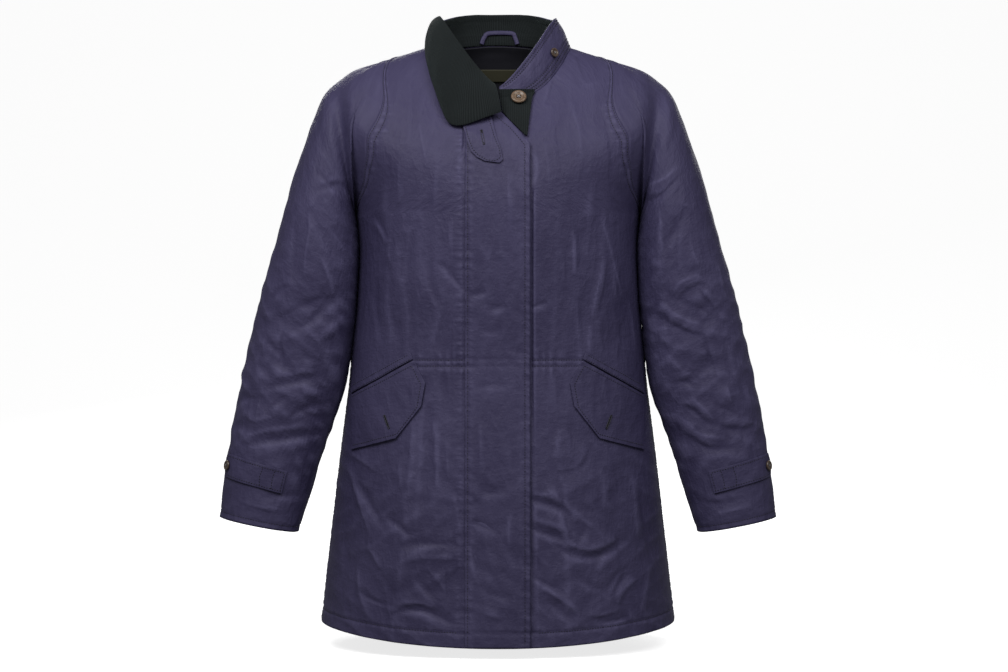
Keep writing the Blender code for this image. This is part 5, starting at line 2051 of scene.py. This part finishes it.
    def build(self, cuffs: Cuffs) -> list[Piece]:
        """Every row and buttonhole."""
        rows = [self.seams(), self.hems(), self.trims(), self.cuffs(cuffs), self.collar()]
        return rows + self.buttonholes()


# ---- The studio ----
@dataclass(frozen=True)
class Studio:
    """A plain pale floor, soft light and the camera straight in front of the coat."""

    floor_z: float = -0.862
    lens: float = 73.54
    distance: float = 3.0
    aim: tuple[float, float] = (0.0087, -0.4167)
    glow: float = 0.78
    daylight: float = 0.17

    def floor(self) -> None:
        """A pale floor that sweeps up into a pale wall: a curve carried along X."""
        across = np.linspace(-6, 6, 3)
        turn = np.linspace(0, np.pi / 2, 24)
        run = np.concatenate([[-8.0], 3.0 + 1.5 * np.sin(turn), [4.5]])
        rise = np.concatenate([[0.0], 1.5 - 1.5 * np.cos(turn), [7.0]])
        places = np.broadcast_arrays(across, run[:, None], rise[:, None] + self.floor_z)
        points = np.stack(places, -1)
        paint = Painter("pale_floor")
        paint.set(base_color=(0.8, 0.8, 0.8), roughness=0.8, emission_color=(1.0, 1.0, 1.0),
                  emission_strength=self.glow)
        quads = weave_quads(len(run), 3, False)[:, OTHER_WAY]
        sweep = placed("floor_sweep", points, quads, paint.material)
        sweep.visible_diffuse = False
        sweep.visible_glossy = False

    def lamp(self, name: str, place: tuple[float, float, float], size: float, power: float) -> None:
        """A square soft box that faces the coat.

        Args:
            name: The lamp's name.
            place: Where it stands.
            size: Its side in metres.
            power: Its power in watts.
        """
        light = bpy.data.lights.new(name, "AREA")
        light.shape = "SQUARE"
        light.size = size
        light.energy = power
        lamp = bpy.data.objects.new(name, light)
        bpy.context.scene.collection.objects.link(lamp)
        lamp.location = place
        way = Vector((0.0, 0.0, -0.3)) - Vector(place)
        lamp.rotation_euler = way.to_track_quat("-Z", "Y").to_euler()

    def build(self) -> None:
        """The floor, the lights, the world and the camera."""
        self.floor()
        self.lamp("key", (-0.6, -1.25, 0.92), 1.0, 21.5)
        self.lamp("fill", (0.8, -1.4, 0.8), 1.0, 13)
        self.lamp("back_left", (-0.9, 3.0, 1.2), 1.2, 30)
        self.lamp("back_right", (1.2, 3.2, 0.6), 1.4, 20)
        world = bpy.data.worlds.new("studio")
        world.use_nodes = True
        sky = world.node_tree.nodes["Background"]
        sky.inputs["Color"].default_value = (1.0, 1.0, 1.0, 1.0)
        sky.inputs["Strength"].default_value = self.daylight
        bpy.context.scene.world = world
        bpy.context.scene.view_settings.view_transform = "Standard"
        data = bpy.data.cameras.new("camera")
        data.lens = self.lens
        data.sensor_width = 36.0
        camera = bpy.data.objects.new("camera", data)
        bpy.context.scene.collection.objects.link(camera)
        camera.location = (self.aim[0], -self.distance, self.aim[1])
        camera.rotation_euler = (np.pi / 2, 0.0, 0.0)
        bpy.context.scene.camera = camera


def main() -> None:
    """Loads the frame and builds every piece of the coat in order."""
    logging.basicConfig(level=logging.INFO, format="%(name)s: %(message)s")
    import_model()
    wardrobe = Wardrobe()
    wardrobe.dress()
    relief = Relief()
    sleeves = {
        Side.RIGHT: Sleeve(relief, wardrobe, Side.RIGHT, RIGHT_ARM_CREASES, 201),
        Side.LEFT: Sleeve(relief, wardrobe, Side.LEFT, LEFT_ARM_CREASES, 202),
    }
    made = BodyPanels(relief, wardrobe).build()
    made += [sleeve.build() for sleeve in sleeves.values()]
    trim = FrontTrim(relief, wardrobe)
    made += trim.build()
    made += Collar(relief, wardrobe).build()
    made += Inside(relief, wardrobe).build()
    cuffs = Cuffs(sleeves, wardrobe)
    made += cuffs.build()
    made += Buttons(relief, wardrobe, sleeves).build()
    made += Stitching(relief, wardrobe, trim, sleeves).build(cuffs)
    for piece in made:
        LOG.info("%s: %d faces", piece.name, len(piece.data.polygons))
    Studio().build()


if __name__ == "__main__":
    main()
